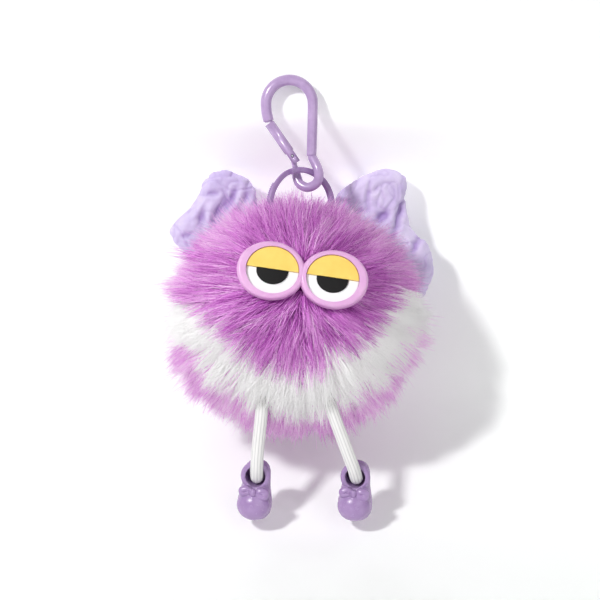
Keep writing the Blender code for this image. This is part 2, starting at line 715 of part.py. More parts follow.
def shoe_shape(looks):
    """A moulded shoe, toe down and sole to the back, about the middle of its length."""
    bm = bmesh.new()
    bmesh.ops.create_uvsphere(bm, u_segments=20, v_segments=14, radius=1)
    for vertex in bm.verts:
        x, y, z = vertex.co
        heel = 0.5 + 0.5 * z
        full = (abs(x) ** 2.3 + abs(y) ** 2.3 + abs(z) ** 2.3) ** (1 / 2.3)
        x, y, z = x / full, y / full, z / full
        x *= 1 - 0.13 * heel
        y = max(y * (1 - 0.06 * heel), -1)
        y = min(y, 0.78)
        vertex.co = Vector((x * SHOE_HALF.x, y * SHOE_HALF.y, z * SHOE_HALF.z))
    bmesh.ops.remove_doubles(bm, verts=bm.verts, dist=1e-6)
    shoe = from_bmesh(bm, "shoe", CUTTERS)
    collar_place = Vector((0, -4.6 * MM, SHOE_PIVOT_UP - 1.4 * MM))
    collar = oval_disc(
        "shoe_collar", SHOE_OPENING + Vector((1.5, 1.5)) * MM, 2.2 * MM, -3.0 * MM, 1.2 * MM,
        collection=CUTTERS, steps=20,
    )
    collar.data.transform(Matrix.Translation(collar_place))
    combine(shoe, collar, "UNION")
    for name, place, half in (
        ("bow_left", (-3.1, -5.2, -1.6), (2.5, 1.5, 1.9)),
        ("bow_right", (3.1, -5.2, -1.6), (2.5, 1.5, 1.9)),
        ("bow_knot", (0, -5.6, -1.6), (1.2, 1.5, 1.3)),
    ):
        lobe = ellipsoid(name, Vector(place) * MM, Vector(half) * MM, 2.2, CUTTERS, 12, 8)
        combine(shoe, lobe, "UNION")
    inside = oval_disc(
        "shoe_inside", SHOE_OPENING, 9.0 * MM, -8.0 * MM, 0.1 * MM, collection=CUTTERS, steps=20
    )
    inside.data.transform(Matrix.Translation((0, collar_place.y, collar_place.z)))
    combine(shoe, inside)
    return freeze(shoe, "shoe_solid", CUTTERS)


def make_legs(looks):
    shape = shoe_shape(looks)
    for label, points, lean in (("left", LEFT_LEG, 5), ("right", RIGHT_LEG, 3)):
        route = [Vector(p) * MM for p in points]
        hip = pivot_at(f"{label}_hip", route[0])
        cord = tube(f"{label}_leg_cord", smooth_route(route, LEG_STEP), LEG_RADIUS)
        finish(cord, looks["white_cord"], hip)

        ankle_place = route[-1]
        ankle = pivot_at(f"{label}_ankle", ankle_place)
        shoe = link(bpy.data.objects.new(f"{label}_shoe", shape.data.copy()), PARTS)
        middle = ankle_place + Vector((0, 2.2 * MM, -SHOE_PIVOT_UP + 2.0 * MM))
        sideways = Matrix.Rotation(math.radians(lean), 4, "Y")
        turn = Matrix.Translation(ankle_place) @ sideways @ Matrix.Translation(middle - ankle_place)
        shoe.data.transform(turn)
        room = tube(f"{label}_cord_room", smooth_route(route, LEG_STEP), LEG_RADIUS + 0.4 * MM, collection=CUTTERS)
        combine(shoe, room)
        finish(shoe, looks["violet_vinyl"], ankle)

        knot_place = ankle_place + Vector((0, KNOT_RADIUS * 0.8 + 2 * GAP, -0.3 * MM))
        knot = ellipsoid(
            f"{label}_leg_knot", knot_place, Vector((KNOT_RADIUS, KNOT_RADIUS * 0.8, KNOT_RADIUS)),
            2.0, PARTS, 16, 10,
        )
        finish(knot, looks["white_cord"], ankle)
    bpy.data.objects.remove(shape, do_unlink=True)


# ---------------------------------------------------------------- assembly


def main():
    clear_scene()
    looks = {
        "lacquer": material("lilac_lacquer", (0.60, 0.42, 0.78), 0.3, 0.25),
        "steel": material("bright_steel", (0.75, 0.75, 0.78), 0.25, 1.0),
        "webbing": material("lilac_webbing", (0.55, 0.35, 0.70), 0.8),
        "orchid_fur": material("orchid_fur", (0.58, 0.17, 0.62), 0.9),
        "white_fur": material("white_fur", (0.86, 0.84, 0.84), 0.9),
        "stuffing": material("white_stuffing", (0.9, 0.9, 0.9), 1.0),
        "pink_vinyl": material("pink_vinyl", (0.87, 0.46, 0.91), 0.4),
        "white_vinyl": material("white_vinyl", (0.95, 0.95, 0.95), 0.4),
        "yellow_vinyl": material("yellow_vinyl", (1.0, 0.75, 0.12), 0.4),
        "black_vinyl": material("black_vinyl", (0.01, 0.01, 0.01), 0.35),
        "lavender_cloth": material("lavender_cloth", (0.61, 0.52, 0.80), 0.85),
        "white_cord": material("white_cord", (0.85, 0.85, 0.84), 0.8),
        "violet_vinyl": material("violet_vinyl", (0.46, 0.26, 0.62), 0.3),
    }
    plate_frame = (
        Matrix.Translation(PLATE_CENTRE)
        @ Matrix.Rotation(PLATE_ROLL, 4, "Y")
        @ Matrix.Rotation(PLATE_PITCH, 4, "X")
    )
    ball = pivot_at("ball_swing", RING_CENTRE - Vector((0, 0, RING_RADIUS)))
    make_snap_hook(looks)
    make_split_ring(looks)
    make_hanging_tab(looks, ball)
    make_ball(looks, ball, plate_frame)
    make_eye_plate(looks, ball, plate_frame)
    make_wings(looks)
    make_legs(looks)


main()
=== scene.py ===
"""Looks of the fur-ball bag charm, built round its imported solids: combed pile, crinkled wings, a moulded
eye plate, a lacquered snap hook and split ring, ribbed cord legs and glossy shoes, in a pale studio."""

import math

import bmesh
import bpy
import numpy as np
from mathutils import Matrix, Vector, kdtree, noise


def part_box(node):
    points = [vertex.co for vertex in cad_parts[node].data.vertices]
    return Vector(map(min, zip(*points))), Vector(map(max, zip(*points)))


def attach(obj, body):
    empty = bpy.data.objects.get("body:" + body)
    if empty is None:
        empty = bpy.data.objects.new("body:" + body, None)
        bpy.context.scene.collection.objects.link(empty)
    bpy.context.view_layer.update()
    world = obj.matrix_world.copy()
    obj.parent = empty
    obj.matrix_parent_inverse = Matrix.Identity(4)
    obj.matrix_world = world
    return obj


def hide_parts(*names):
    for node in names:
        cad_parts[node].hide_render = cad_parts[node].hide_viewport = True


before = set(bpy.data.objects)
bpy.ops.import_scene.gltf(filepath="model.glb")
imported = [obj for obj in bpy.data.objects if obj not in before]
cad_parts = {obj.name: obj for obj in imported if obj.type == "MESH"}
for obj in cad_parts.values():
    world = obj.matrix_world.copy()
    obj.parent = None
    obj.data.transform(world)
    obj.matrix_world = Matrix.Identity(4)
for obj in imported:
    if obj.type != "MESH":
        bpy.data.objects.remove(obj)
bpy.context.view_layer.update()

MM = 0.001

# ---------------------------------------------------------------- camera


def place_camera():
    data = bpy.data.cameras.new("studio_camera")
    data.lens = 150
    data.sensor_width = 36
    data.clip_start = 0.01
    camera = bpy.data.objects.new("studio_camera", data)
    camera.location = (4.45 * MM, -1.05, -90.3 * MM)
    camera.rotation_euler = (math.pi / 2, 0, 0)
    bpy.context.scene.collection.objects.link(camera)
    bpy.context.scene.camera = camera


place_camera()

# ---------------------------------------------------------------- mesh helpers


def to_scene(name, mesh):
    obj = bpy.data.objects.new(name, mesh)
    bpy.context.scene.collection.objects.link(obj)
    return obj


def drop(obj):
    data = obj.data
    bpy.data.objects.remove(obj, do_unlink=True)
    if isinstance(data, bpy.types.Mesh) and not data.users:
        bpy.data.meshes.remove(data)


def outward(mesh):
    """Merged doubles, and every face turned outwards."""
    bm = bmesh.new()
    bm.from_mesh(mesh)
    bmesh.ops.remove_doubles(bm, verts=bm.verts, dist=1e-6)
    bmesh.ops.recalc_face_normals(bm, faces=bm.faces)
    if bm.calc_volume(signed=True) < 0:
        bmesh.ops.reverse_faces(bm, faces=bm.faces)
    bm.to_mesh(mesh)
    bm.free()
    return mesh


def settled(obj, name):
    """The evaluated shape as a plain mesh object at the origin; obj is removed."""
    bpy.context.view_layer.update()
    graph = bpy.context.evaluated_depsgraph_get()
    mesh = bpy.data.meshes.new_from_object(obj.evaluated_get(graph))
    mesh.transform(obj.matrix_world)
    drop(obj)
    mesh.name = name
    made = to_scene(name, mesh)
    made.name = name
    return made


def smooth(obj, angle=40):
    obj.data.shade_smooth()
    if angle < 180:
        obj.data.set_sharp_from_angle(angle=math.radians(angle))
    return obj


def coat(obj, *looks):
    obj.data.materials.clear()
    for look in looks:
        obj.data.materials.append(look)
    return obj


def belongs(obj, body, slot, *nodes):
    """Puts a finished piece on its body and hides the solids that it stands for; the name of its finish is
    not used.
    """
    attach(obj, body)
    if nodes:
        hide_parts(*nodes)
    return obj


def mesh_from(name, bm):
    """A mesh made of a bmesh, which is freed."""
    mesh = bpy.data.meshes.new(name)
    bm.to_mesh(mesh)
    bm.free()
    return mesh


def catmull(a, b, c, d, t):
    """The point at t between b and c on a Catmull-Rom curve through all four."""
    return 0.5 * (2 * b + (c - a) * t + (2 * a - 5 * b + 4 * c - d) * t**2 + (3 * b - a - 3 * c + d) * t**3)


def tube_faces(rings, count):
    """The side faces of a tube of so many rings, with count points in each."""
    faces = []
    for i in range(rings - 1):
        for k in range(count):
            m = (k + 1) % count
            faces.append((i * count + k, i * count + m, (i + 1) * count + m, (i + 1) * count + k))
    return faces


def smooth_route(points, step):
    """Points about one step apart on a Catmull-Rom curve through the given points, as an array."""
    given = [np.array(p, float) for p in points]
    ends = [2 * given[0] - given[1], *given, 2 * given[-1] - given[-2]]
    route = []
    for i in range(1, len(ends) - 2):
        a, b, c, d = ends[i - 1 : i + 3]
        pieces = max(1, round(float(np.linalg.norm(c - b)) / step))
        for k in range(pieces):
            route.append(catmull(a, b, c, d, k / pieces))
    route.append(given[-1])
    return np.array(route)


def swept(name, route, radii, section, cap=0.0):
    """A tube along a route. section holds (angle, factor) pairs, and cap rounds both ends that far."""
    route = np.array(route, float)
    radii = np.array(radii, float)
    if cap:
        ahead = route[0] - route[1]
        astern = route[-1] - route[-2]
        turns = np.radians([75, 50, 25])
        front = [route[0] + ahead / np.linalg.norm(ahead) * cap * math.sin(a) for a in turns]
        back = [route[-1] + astern / np.linalg.norm(astern) * cap * math.sin(a) for a in turns[::-1]]
        ends = [math.cos(a) for a in turns]
        route = np.array([*front, *route, *back])
        radii = np.array([*(radii[0] * e for e in ends), *radii, *(radii[-1] * e for e in ends[::-1])])
    ahead = np.gradient(route, axis=0)
    ahead /= np.linalg.norm(ahead, axis=1)[:, None]
    side = np.cross(ahead[0], (0.0, 1.0, 0.02))
    side /= np.linalg.norm(side)
    length = 0.0
    verts, lengths = [], []
    for i, (place, way) in enumerate(zip(route, ahead)):
        side -= way * side.dot(way)
        side /= np.linalg.norm(side)
        across = np.cross(way, side)
        if i:
            length += float(np.linalg.norm(place - route[i - 1]))
        lengths.append(length)
        for angle, factor in section:
            verts.append(place + radii[i] * factor * (math.cos(angle) * side + math.sin(angle) * across))
    count = len(section)
    faces = tube_faces(len(route), count)
    faces.append(tuple(reversed(range(count))))
    faces.append(tuple(range((len(route) - 1) * count, len(route) * count)))
    mesh = bpy.data.meshes.new(name)
    mesh.from_pydata([tuple(v) for v in verts], [], faces)
    layer = mesh.uv_layers.new(name="length_and_turn")
    side_corners = 4 * count * (len(route) - 1)
    for loop_index, loop in enumerate(mesh.loops):
        ring, corner = divmod(loop.vertex_index, count)
        turn = corner / count
        closing = loop_index < side_corners and (loop_index // 4) % count == count - 1
        if corner == 0 and closing:
            turn = 1.0
        layer.data[loop_index].uv = (turn, lengths[ring] / 0.01)
    mesh.update()
    return to_scene(name, mesh)


def round_section(sides):
    return [(math.tau * i / sides, 1.0) for i in range(sides)]


# ---------------------------------------------------------------- finishes


def srgb(red, green, blue):
    """Linear colour of an 8-bit one."""
    return tuple(
        (v / 255) / 12.92 if v / 255 <= 0.04045 else ((v / 255 + 0.055) / 1.055) ** 2.4
        for v in (red, green, blue)
    )


class Finish:
    """A material being made: one Principled shader, with nodes added to it."""

    def __init__(self, name, colour, roughness, **sockets):
        self.material = bpy.data.materials.new(name)
        self.material.use_nodes = True
        self.nodes = self.material.node_tree.nodes
        self.links = self.material.node_tree.links
        self.shader = self.nodes["Principled BSDF"]
        self.shader.inputs["Base Color"].default_value = (*colour, 1)
        self.shader.inputs["Roughness"].default_value = roughness
        for socket, value in sockets.items():
            self.shader.inputs[socket.replace("_", " ")].default_value = value
        self.height = None

    def node(self, kind, **values):
        made = self.nodes.new(kind)
        for key, value in values.items():
            if key in made.inputs:
                made.inputs[key].default_value = value
            else:
                setattr(made, key, value)
        return made

    def own_place(self):
        return self.node("ShaderNodeTexCoord").outputs["Object"]

    def speckle(self, scale, detail, distortion=0.0):
        """Noise of so many cells to the metre."""
        made = self.node("ShaderNodeTexNoise")
        made.inputs["Scale"].default_value = scale
        made.inputs["Detail"].default_value = detail
        made.inputs["Roughness"].default_value = 0.55
        made.inputs["Distortion"].default_value = distortion
        self.links.new(self.own_place(), made.inputs["Vector"])
        return made.outputs["Fac"]

    def weave(self, direction, scale, distortion=0.0):
        """Straight bands of thread."""
        made = self.node("ShaderNodeTexWave", wave_type="BANDS", bands_direction=direction)
        made.inputs["Scale"].default_value = scale
        made.inputs["Distortion"].default_value = distortion
        self.links.new(self.own_place(), made.inputs["Vector"])
        return made.outputs["Fac"]

    def ramp(self, factor, *stops):
        made = self.node("ShaderNodeValToRGB")
        ramp = made.color_ramp
        while len(ramp.elements) < len(stops):
            ramp.elements.new(0.5)
        for element, (place, colour) in zip(ramp.elements, stops):
            element.position = place
            element.color = (*colour, 1)
        self.links.new(factor, made.inputs["Fac"])
        return made.outputs["Color"]

    def colour_from(self, colour):
        self.links.new(colour, self.shader.inputs["Base Color"])

    def roughness_from(self, factor, low, high):
        spread = self.node("ShaderNodeMapRange")
        spread.inputs["To Min"].default_value = low
        spread.inputs["To Max"].default_value = high
        self.links.new(factor, spread.inputs["Value"])
        self.links.new(spread.outputs["Result"], self.shader.inputs["Roughness"])

    def relief(self, height, distance, strength):
        """Bump of that depth in metres, on top of any already there."""
        made = self.node("ShaderNodeBump")
        made.inputs["Strength"].default_value = strength
        made.inputs["Distance"].default_value = distance
        self.links.new(height, made.inputs["Height"])
        if self.height:
            self.links.new(self.height, made.inputs["Normal"])
        self.height = made.outputs["Normal"]
        self.links.new(self.height, self.shader.inputs["Normal"])


def lacquer_look(name="lilac_lacquer", lower=srgb(172, 144, 190), upper=srgb(188, 160, 204)):
    f = Finish(name, srgb(181, 154, 197), 0.3, Coat_Weight=0.5, Coat_Roughness=0.14)
    cloud = f.speckle(260, 3)
    f.colour_from(f.ramp(cloud, (0.3, lower), (0.7, upper)))
    f.roughness_from(f.speckle(900, 2), 0.24, 0.36)
    f.relief(f.speckle(1400, 3), 0.00004, 0.35)
    return f.material


def vinyl_look(name, colour, darker, roughness, grain=0.25, coat=0.25, specular=0.5):
    f = Finish(
        name, colour, roughness, Coat_Weight=coat, Coat_Roughness=0.2, Specular_IOR_Level=specular,
        Subsurface_Weight=0.12, Subsurface_Radius=(0.0012, 0.0007, 0.0010), Subsurface_Scale=1.0,
    )
    f.colour_from(f.ramp(f.speckle(190, 3), (0.32, darker), (0.66, colour)))
    f.roughness_from(f.speckle(700, 3), roughness - 0.05, roughness + 0.08)
    f.relief(f.speckle(2600, 3), 0.00003, grain)
    return f.material


def steel_look():
    f = Finish("bright_steel", (0.62, 0.62, 0.66), 0.24, Metallic=1.0)
    f.roughness_from(f.speckle(1800, 3), 0.18, 0.34)
    f.relief(f.speckle(3200, 2), 0.00002, 0.3)
    return f.material


def cord_look():
    """Ribbed elastic: fine ribs along the cord, each one made of short slanting stitches."""
    f = Finish("white_cord", srgb(232, 231, 229), 0.8, Sheen_Weight=0.3)
    split = f.node("ShaderNodeSeparateXYZ")
    f.links.new(f.node("ShaderNodeUVMap", uv_map="length_and_turn").outputs["UV"], split.inputs["Vector"])

    def wave(turns, lean):
        along = f.node("ShaderNodeMath", operation="MULTIPLY")
        along.inputs[1].default_value = lean
        f.links.new(split.outputs["Y"], along.inputs[0])
        both = f.node("ShaderNodeMath", operation="MULTIPLY_ADD")
        both.inputs[1].default_value = turns * math.tau
        f.links.new(split.outputs["X"], both.inputs[0])
        f.links.new(along.outputs[0], both.inputs[2])
        made = f.node("ShaderNodeMath", operation="SINE")
        f.links.new(both.outputs[0], made.inputs[0])
        spread = f.node("ShaderNodeMapRange")
        spread.inputs["From Min"].default_value = -1
        f.links.new(made.outputs[0], spread.inputs["Value"])
        return spread.outputs["Result"]

    ribs = wave(12, 0)
    # Painted shade: the cord is greyer down in the grooves between its ribs.
    f.colour_from(f.ramp(ribs, (0.05, srgb(208, 206, 207)), (0.5, srgb(228, 227, 226))))
    f.relief(ribs, 0.00016, 0.4)
    f.relief(wave(24, 90), 0.00005, 0.4)
    return f.material


def wing_look():
    """Thin crinkled cloth: a fine weave under soft creases, with painted shade, a darker lilac, down in the
    folds.
    """
    f = Finish(
        "lavender_cloth", srgb(206, 190, 228), 0.62, Sheen_Weight=0.35, Sheen_Roughness=0.4,
        Subsurface_Weight=0.1, Subsurface_Radius=(0.001, 0.001, 0.001), Subsurface_Scale=1.0,
    )
    cloud = f.speckle(90, 4, distortion=0.6)
    # Painted shade: the cloth turns a darker lilac as far as each point lies down in a crease.
    crease_shade = f.node("ShaderNodeAttribute")
    crease_shade.attribute_name = "crease_shade"
    shade = f.node("ShaderNodeMix")
    shade.data_type = "RGBA"
    f.links.new(crease_shade.outputs["Fac"], shade.inputs["Factor"])
    f.links.new(
        f.ramp(cloud, (0.25, srgb(190, 174, 216)), (0.5, srgb(206, 192, 227)), (0.75, srgb(221, 210, 236))),
        shade.inputs["A"],
    )
    shade.inputs["B"].default_value = (*srgb(170, 146, 200), 1)
    f.colour_from(shade.outputs["Result"])
    crease = f.node("ShaderNodeTexNoise")
    crease.noise_type = "RIDGED_MULTIFRACTAL"
    crease.inputs["Scale"].default_value = 110
    crease.inputs["Detail"].default_value = 3
    crease.inputs["Distortion"].default_value = 0.9
    f.links.new(f.own_place(), crease.inputs["Vector"])
    f.relief(crease.outputs["Fac"], 0.0003, 0.35)
    f.relief(f.weave("DIAGONAL", 900, 1.5), 0.00003, 0.25)
    return f.material


def webbing_look():
    f = Finish("lilac_webbing", srgb(176, 140, 205), 0.85)
    bands = f.weave("Z", 420)
    f.colour_from(f.ramp(bands, (0.2, srgb(150, 112, 182)), (0.8, srgb(188, 154, 214))))
    f.relief(bands, 0.0001, 0.5)
    return f.material


PILE_GLOW = 0.08  # stands for the light that passes through the fine strands


def pile_look(name, colour):
    """One shade of the pile, from deep to pale: the pile's own tone with painted shade and painted light laid
    over it. Strands pick among several, so each one stays even.
    """
    dye = (*colour, 1)
    return Finish(
        name, colour, 0.55, Sheen_Weight=0.25, Sheen_Roughness=0.35, Sheen_Tint=dye,
        Specular_IOR_Level=0.3, Emission_Color=dye, Emission_Strength=PILE_GLOW,
    ).material


def stuffing_look():
    f = Finish("white_stuffing", (0.8, 0.8, 0.8), 0.95)
    f.relief(f.speckle(400, 5), 0.0006, 0.6)
    return f.material


LACQUER = lacquer_look()
# Painted shade: the ring has a darker copy of the hook's lilac lacquer, for the shade it lies in round the
# hook's eye.
SHADED_RING_LACQUER = lacquer_look("shaded_ring_lacquer", srgb(152, 120, 172), srgb(168, 137, 187))
STEEL = steel_look()
CORD = cord_look()
CLOTH = wing_look()
WEBBING = webbing_look()
STUFFING = stuffing_look()
PINK = vinyl_look("pink_vinyl", srgb(226, 176, 220), srgb(220, 165, 215), 0.42)
WHITE = vinyl_look("white_vinyl", srgb(252, 252, 252), srgb(246, 246, 248), 0.4)
YELLOW = vinyl_look("yellow_vinyl", srgb(248, 214, 108), srgb(244, 206, 97), 0.45)
BLACK = vinyl_look("black_vinyl", srgb(14, 12, 13), srgb(8, 7, 8), 0.5, coat=0, specular=0.25)
VIOLET = vinyl_look("violet_vinyl", srgb(162, 134, 180), srgb(154, 124, 173), 0.24, 0.06)

# ---------------------------------------------------------------- cord legs

LEG_DIAMETER = 5.3 * MM
LEFT_LEG = (
    (-10.8, -16.8, -124.4), (-11.2, -20.6, -131), (-11.5, -23.0, -138.4), (-12.4, -24.0, -147),
    (-13.0, -24.0, -153.5), (-13.3, -22.6, -158.6), (-13.4, -19.4, -162.2), (-13.4, -16.6, -163.6),
)
RIGHT_LEG = (
    (14.6, -16.8, -124.4), (16.2, -20.6, -131), (18.6, -23.0, -138.4), (21.8, -24.0, -147),
    (24.4, -24.0, -154.0), (26.3, -22.6, -159.0), (27.4, -19.4, -162.6), (27.8, -16.6, -164.0),
)
LEG_ROUTES = {}
YARNS, RIB_DEPTH = 12, 0.045


def make_leg(label, points):
    route = smooth_route([np.array(p) * MM for p in points], 1.2 * MM)
    LEG_ROUTES[label] = route
    section = []
    for i in range(YARNS * 4):
        angle = math.tau * i / (YARNS * 4)
        section.append((angle, 1 - RIB_DEPTH * (0.5 - 0.5 * math.cos(angle * YARNS))))
    radii = np.full(len(route), LEG_DIAMETER / 2)
    leg = swept(f"{label}_leg", route, radii, section, cap=0.6 * MM)
    smooth(coat(leg, CORD), 60)
    belongs(leg, f"{label}_leg", "white_cord", f"{label}_leg_cord")


make_leg("left", LEFT_LEG)
make_leg("right", RIGHT_LEG)

# ---------------------------------------------------------------- eye plate

PLATE = (
    Matrix.Translation(Vector((5.4, -33.0, -80.6)) * MM)
    @ Matrix.Rotation(math.radians(8.1), 4, "Y")
    @ Matrix.Rotation(math.radians(-14), 4, "X")
)
EYE_SPACING = 25.85 * MM
RIM_HALF = Vector((13.95, 12.05)) * MM
RIM_DEPTH = 4.0 * MM
WHITE_SPACING = 24.7 * MM
WHITE_HALF = Vector((10.75, 9.8)) * MM
PUPIL_HALF = Vector((6.55, 5.8)) * MM
POCKET_FLOOR = 1.2 * MM
LID_EDGE = 0.45 * MM  # the lids stop this far above the middle
LID_GAP = 0.06 * MM  # clear on each side of that edge
STEM_LENGTH, STEM_RADIUS, STEM_OVERLAP = 14.2 * MM, 1.5 * MM, 0.6 * MM


def oval_disc(name, half, front, back, rounding, middle=0.0, steps=96):
    """A turned disc with a rounded front edge, stretched to an oval, facing -y."""
    profile = [(0, -front)]
    for i in range(9):
        turn = i * math.pi / 16
        profile.append((half.x - rounding * (1 - math.sin(turn)), -front + rounding * (1 - math.cos(turn))))
    profile += [(half.x, -back), (0, -back)]
    mesh = bpy.data.meshes.new(name)
    mesh.from_pydata([(x, 0, -y) for x, y in profile], [(i, i + 1) for i in range(len(profile) - 1)], [])
    obj = to_scene(name, mesh)
    turned = obj.modifiers.new("turned", "SCREW")
    turned.steps = turned.render_steps = steps
    turned.use_merge_vertices = True
    turned.merge_threshold = 1e-6
    obj.matrix_world = (
        Matrix.Translation((middle, 0, 0))
        @ Matrix.Diagonal((1, 1, half.y / half.x, 1))
        @ Matrix.Rotation(math.pi / 2, 4, "X")
    )
    made = settled(obj, name)
    outward(made.data)
    return made


def carve(obj, other, operation="DIFFERENCE"):
    modifier = obj.modifiers.new("carve", "BOOLEAN")
    modifier.operation = operation
    modifier.object = other
    name = obj.name
    made = settled(obj, name)
    drop(other)
    return made


def halved(obj, normal, level):
    """What is left of a piece on one side of that height."""
    bm = bmesh.new()
    bm.from_mesh(obj.data)
    cut = bmesh.ops.bisect_plane(
        bm, geom=bm.verts[:] + bm.edges[:] + bm.faces[:],
        plane_co=normal * LID_GAP + Vector((0, 0, level)), plane_no=-normal, clear_outer=True,
    )
    edges = [part for part in cut["geom_cut"] if isinstance(part, bmesh.types.BMEdge)]
    bmesh.ops.contextual_create(bm, geom=edges)
    bmesh.ops.recalc_face_normals(bm, faces=bm.faces)
    bm.to_mesh(obj.data)
    bm.free()


def make_eyes():
    rim = oval_disc("eye_plate", RIM_HALF, RIM_DEPTH, 0, 1.5 * MM, -EYE_SPACING / 2)
    rim = carve(rim, oval_disc("rim_mate", RIM_HALF, RIM_DEPTH + 1e-6, 0, 1.5 * MM, EYE_SPACING / 2), "UNION")
    for side in (-1, 1):
        hole = oval_disc(
            "pocket", WHITE_HALF + Vector((0.12, 0.12)) * MM, RIM_DEPTH + MM, POCKET_FLOOR, 0.02 * MM,
            side * WHITE_SPACING / 2,
        )
        rim = carve(rim, hole)
        bm = bmesh.new()
        bmesh.ops.create_cone(
            bm, cap_ends=True, segments=24, radius1=STEM_RADIUS, radius2=STEM_RADIUS,
            depth=STEM_LENGTH + STEM_OVERLAP,
        )
        bm.transform(
            Matrix.Translation((side * EYE_SPACING / 2, (STEM_LENGTH - STEM_OVERLAP) / 2, 0))
            @ Matrix.Rotation(math.pi / 2, 4, "X")
        )
        rim = carve(rim, to_scene("stem", mesh_from("stem", bm)), "UNION")
    rim.data.transform(PLATE)
    outward(rim.data)
    smooth(coat(rim, PINK), 35)
    belongs(rim, "ball", "pink_vinyl", "eye_surround")

    skin = 0.1 * MM
    white_back = POCKET_FLOOR + skin
    white_front = white_back + MM
    lid_back = white_front + skin
    up, down = Vector((0, 0, 1)), Vector((0, 0, -1))
    for side, label in ((-1, "left"), (1, "right")):
        middle = side * WHITE_SPACING / 2
        white = oval_disc(f"{label}_white", WHITE_HALF, white_front, white_back, 0.25 * MM, middle)
        lid = oval_disc(f"{label}_lid", WHITE_HALF, lid_back + MM, lid_back, 0.35 * MM, middle)
        halved(lid, up, LID_EDGE)
        pupil = oval_disc(f"{label}_black", PUPIL_HALF, lid_back + 0.6 * MM, lid_back, 0.25 * MM, middle)
        halved(pupil, down, LID_EDGE)
        for piece, look, slot, node in (
            (white, WHITE, "white_vinyl", f"{label}_eye_white"),
            (lid, YELLOW, "yellow_vinyl", f"{label}_eyelid"),
            (pupil, BLACK, "black_vinyl", f"{label}_pupil"),
        ):
            piece.data.transform(PLATE)
            outward(piece.data)
            smooth(coat(piece, look), 35)
            belongs(piece, "ball", slot, node)


make_eyes()

# ---------------------------------------------------------------- snap hook, ring and tab

HOOK_RADIUS, WIRE_RADIUS, TANG_RADIUS = 9.8 * MM, 2.1 * MM, 1.1 * MM
GATE_PIVOT = Vector((1.22, 0, -29.9)) * MM
GATE_NOSE = Vector((-8.6, 0, -15.75)) * MM
RING_CENTRE = Vector((4.87, -1.24, -50.3)) * MM
RING_YAW = math.radians(28)
RING_RADIUS, RING_WIDTH, RING_LAYER, RING_PITCH = 14.6 * MM, 2.3 * MM, 1.2 * MM, 1.3 * MM
RING_SPLIT, RING_CHANGEOVER = math.radians(128), math.radians(16)
RIB_SPAN, RIB_PITCH = math.radians(24), math.radians(3.2)
KNOT_SCALE = 0.6  # keeps the knots inside the shoes


def make_hook():
    centre = Vector((0, 0, WIRE_RADIUS - HOOK_RADIUS))
    nose = [Vector((-8.74, 0, -15.1)) * MM, Vector((-9.58, 0, -11.3)) * MM]
    bend = [
        centre + HOOK_RADIUS * Vector((-math.cos(i * math.pi / 12), 0, math.sin(i * math.pi / 12)))
        for i in range(13)
    ]
    spine = [Vector((9.7, 0, -15)) * MM, Vector((9.5, 0, -22)) * MM, Vector((9.3, 0, -29.4)) * MM]
    body = smooth_route(nose + bend + spine, 0.5 * MM)
    shoulder = [(9.305, 0, -29.45), (9.34, 0, -29.62), (9.4, -0.02, -29.85), (9.6, -0.15, -30.4)]
    eye = shoulder + [
        (10.6, -1.0, -32.4), (11.9, -2.1, -35.4), (12.4, -2.2, -38.2), (11.2, -1.3, -41.4),
        (7.8, 0, -43.0), (4.5, 1.3, -41.6), (3.1, 2.2, -38.4), (2.8, 1.87, -36.4),
        (2.5, 0.9, -34.9), (2.2, 0.1, -33.9), (1.6, 0, -31.4), (0.9, 0, -28.6),
    ]
    sizes = [1.0, 0.76, 0.8, 0.92] + [0.95] * 7 + [0.84, 0.62, TANG_RADIUS / WIRE_RADIUS] + [
        TANG_RADIUS / WIRE_RADIUS
    ] * 2
    points = smooth_route([Vector(p) * MM for p in eye], 0.6 * MM)
    along = np.linalg.norm(np.diff(points, axis=0), axis=1)
    along = np.insert(np.cumsum(along), 0, 0)
    marks = [float(along[np.argmin(np.linalg.norm(points - np.array(p) * MM, axis=1))]) for p in eye]
    radii = np.interp(along, marks, [s * WIRE_RADIUS for s in sizes])
    route = np.concatenate([body, points[1:]])
    fuller = np.interp(body[:, 2], (-0.030, -0.010, 0.002), (1.0, 1.03, 1.09)) + np.interp(
        body[:, 0], (-0.010, -0.006, 0.004), (0.05, 0.02, 0)
    )
    sizes = np.concatenate([fuller * WIRE_RADIUS, radii[1:]])
    hook = swept("snap_hook", route, sizes, round_section(36))
    gate_way = (GATE_NOSE - GATE_PIVOT).normalized()
    start = Vector(route[0])
    tenon = swept(
        "latch", [start + Vector((0.05, 0, 0.9)) * MM, start, GATE_NOSE + gate_way * 0.12 * MM],
        [WIRE_RADIUS * 0.8] * 3, round_section(24),
    )
    hook = carve(hook, tenon, "UNION")
    outward(hook.data)
    smooth(coat(hook, LACQUER), 50)
    belongs(hook, "snap_hook", "lilac_lacquer", "carabiner_hook")


def refined(node, name, look, body, slot, angle=40):
    """A merged, smooth-shaded copy of a solid whose shape is already right."""
    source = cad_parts[node]
    piece = to_scene(name, source.data.copy())
    outward(piece.data)
    smooth(coat(piece, look), angle)
    return belongs(piece, body, slot, node)


def ring_frame():
    return Matrix.Translation(RING_CENTRE) @ Matrix.Rotation(RING_YAW, 4, "Z")


def ring_layer(turn):
    early, late = math.tau - RING_CHANGEOVER, math.tau + RING_CHANGEOVER
    share = min(1.0, max(0.0, (turn - early) / (late - early)))
    return RING_PITCH * (share * share * (3 - 2 * share) - 0.5)


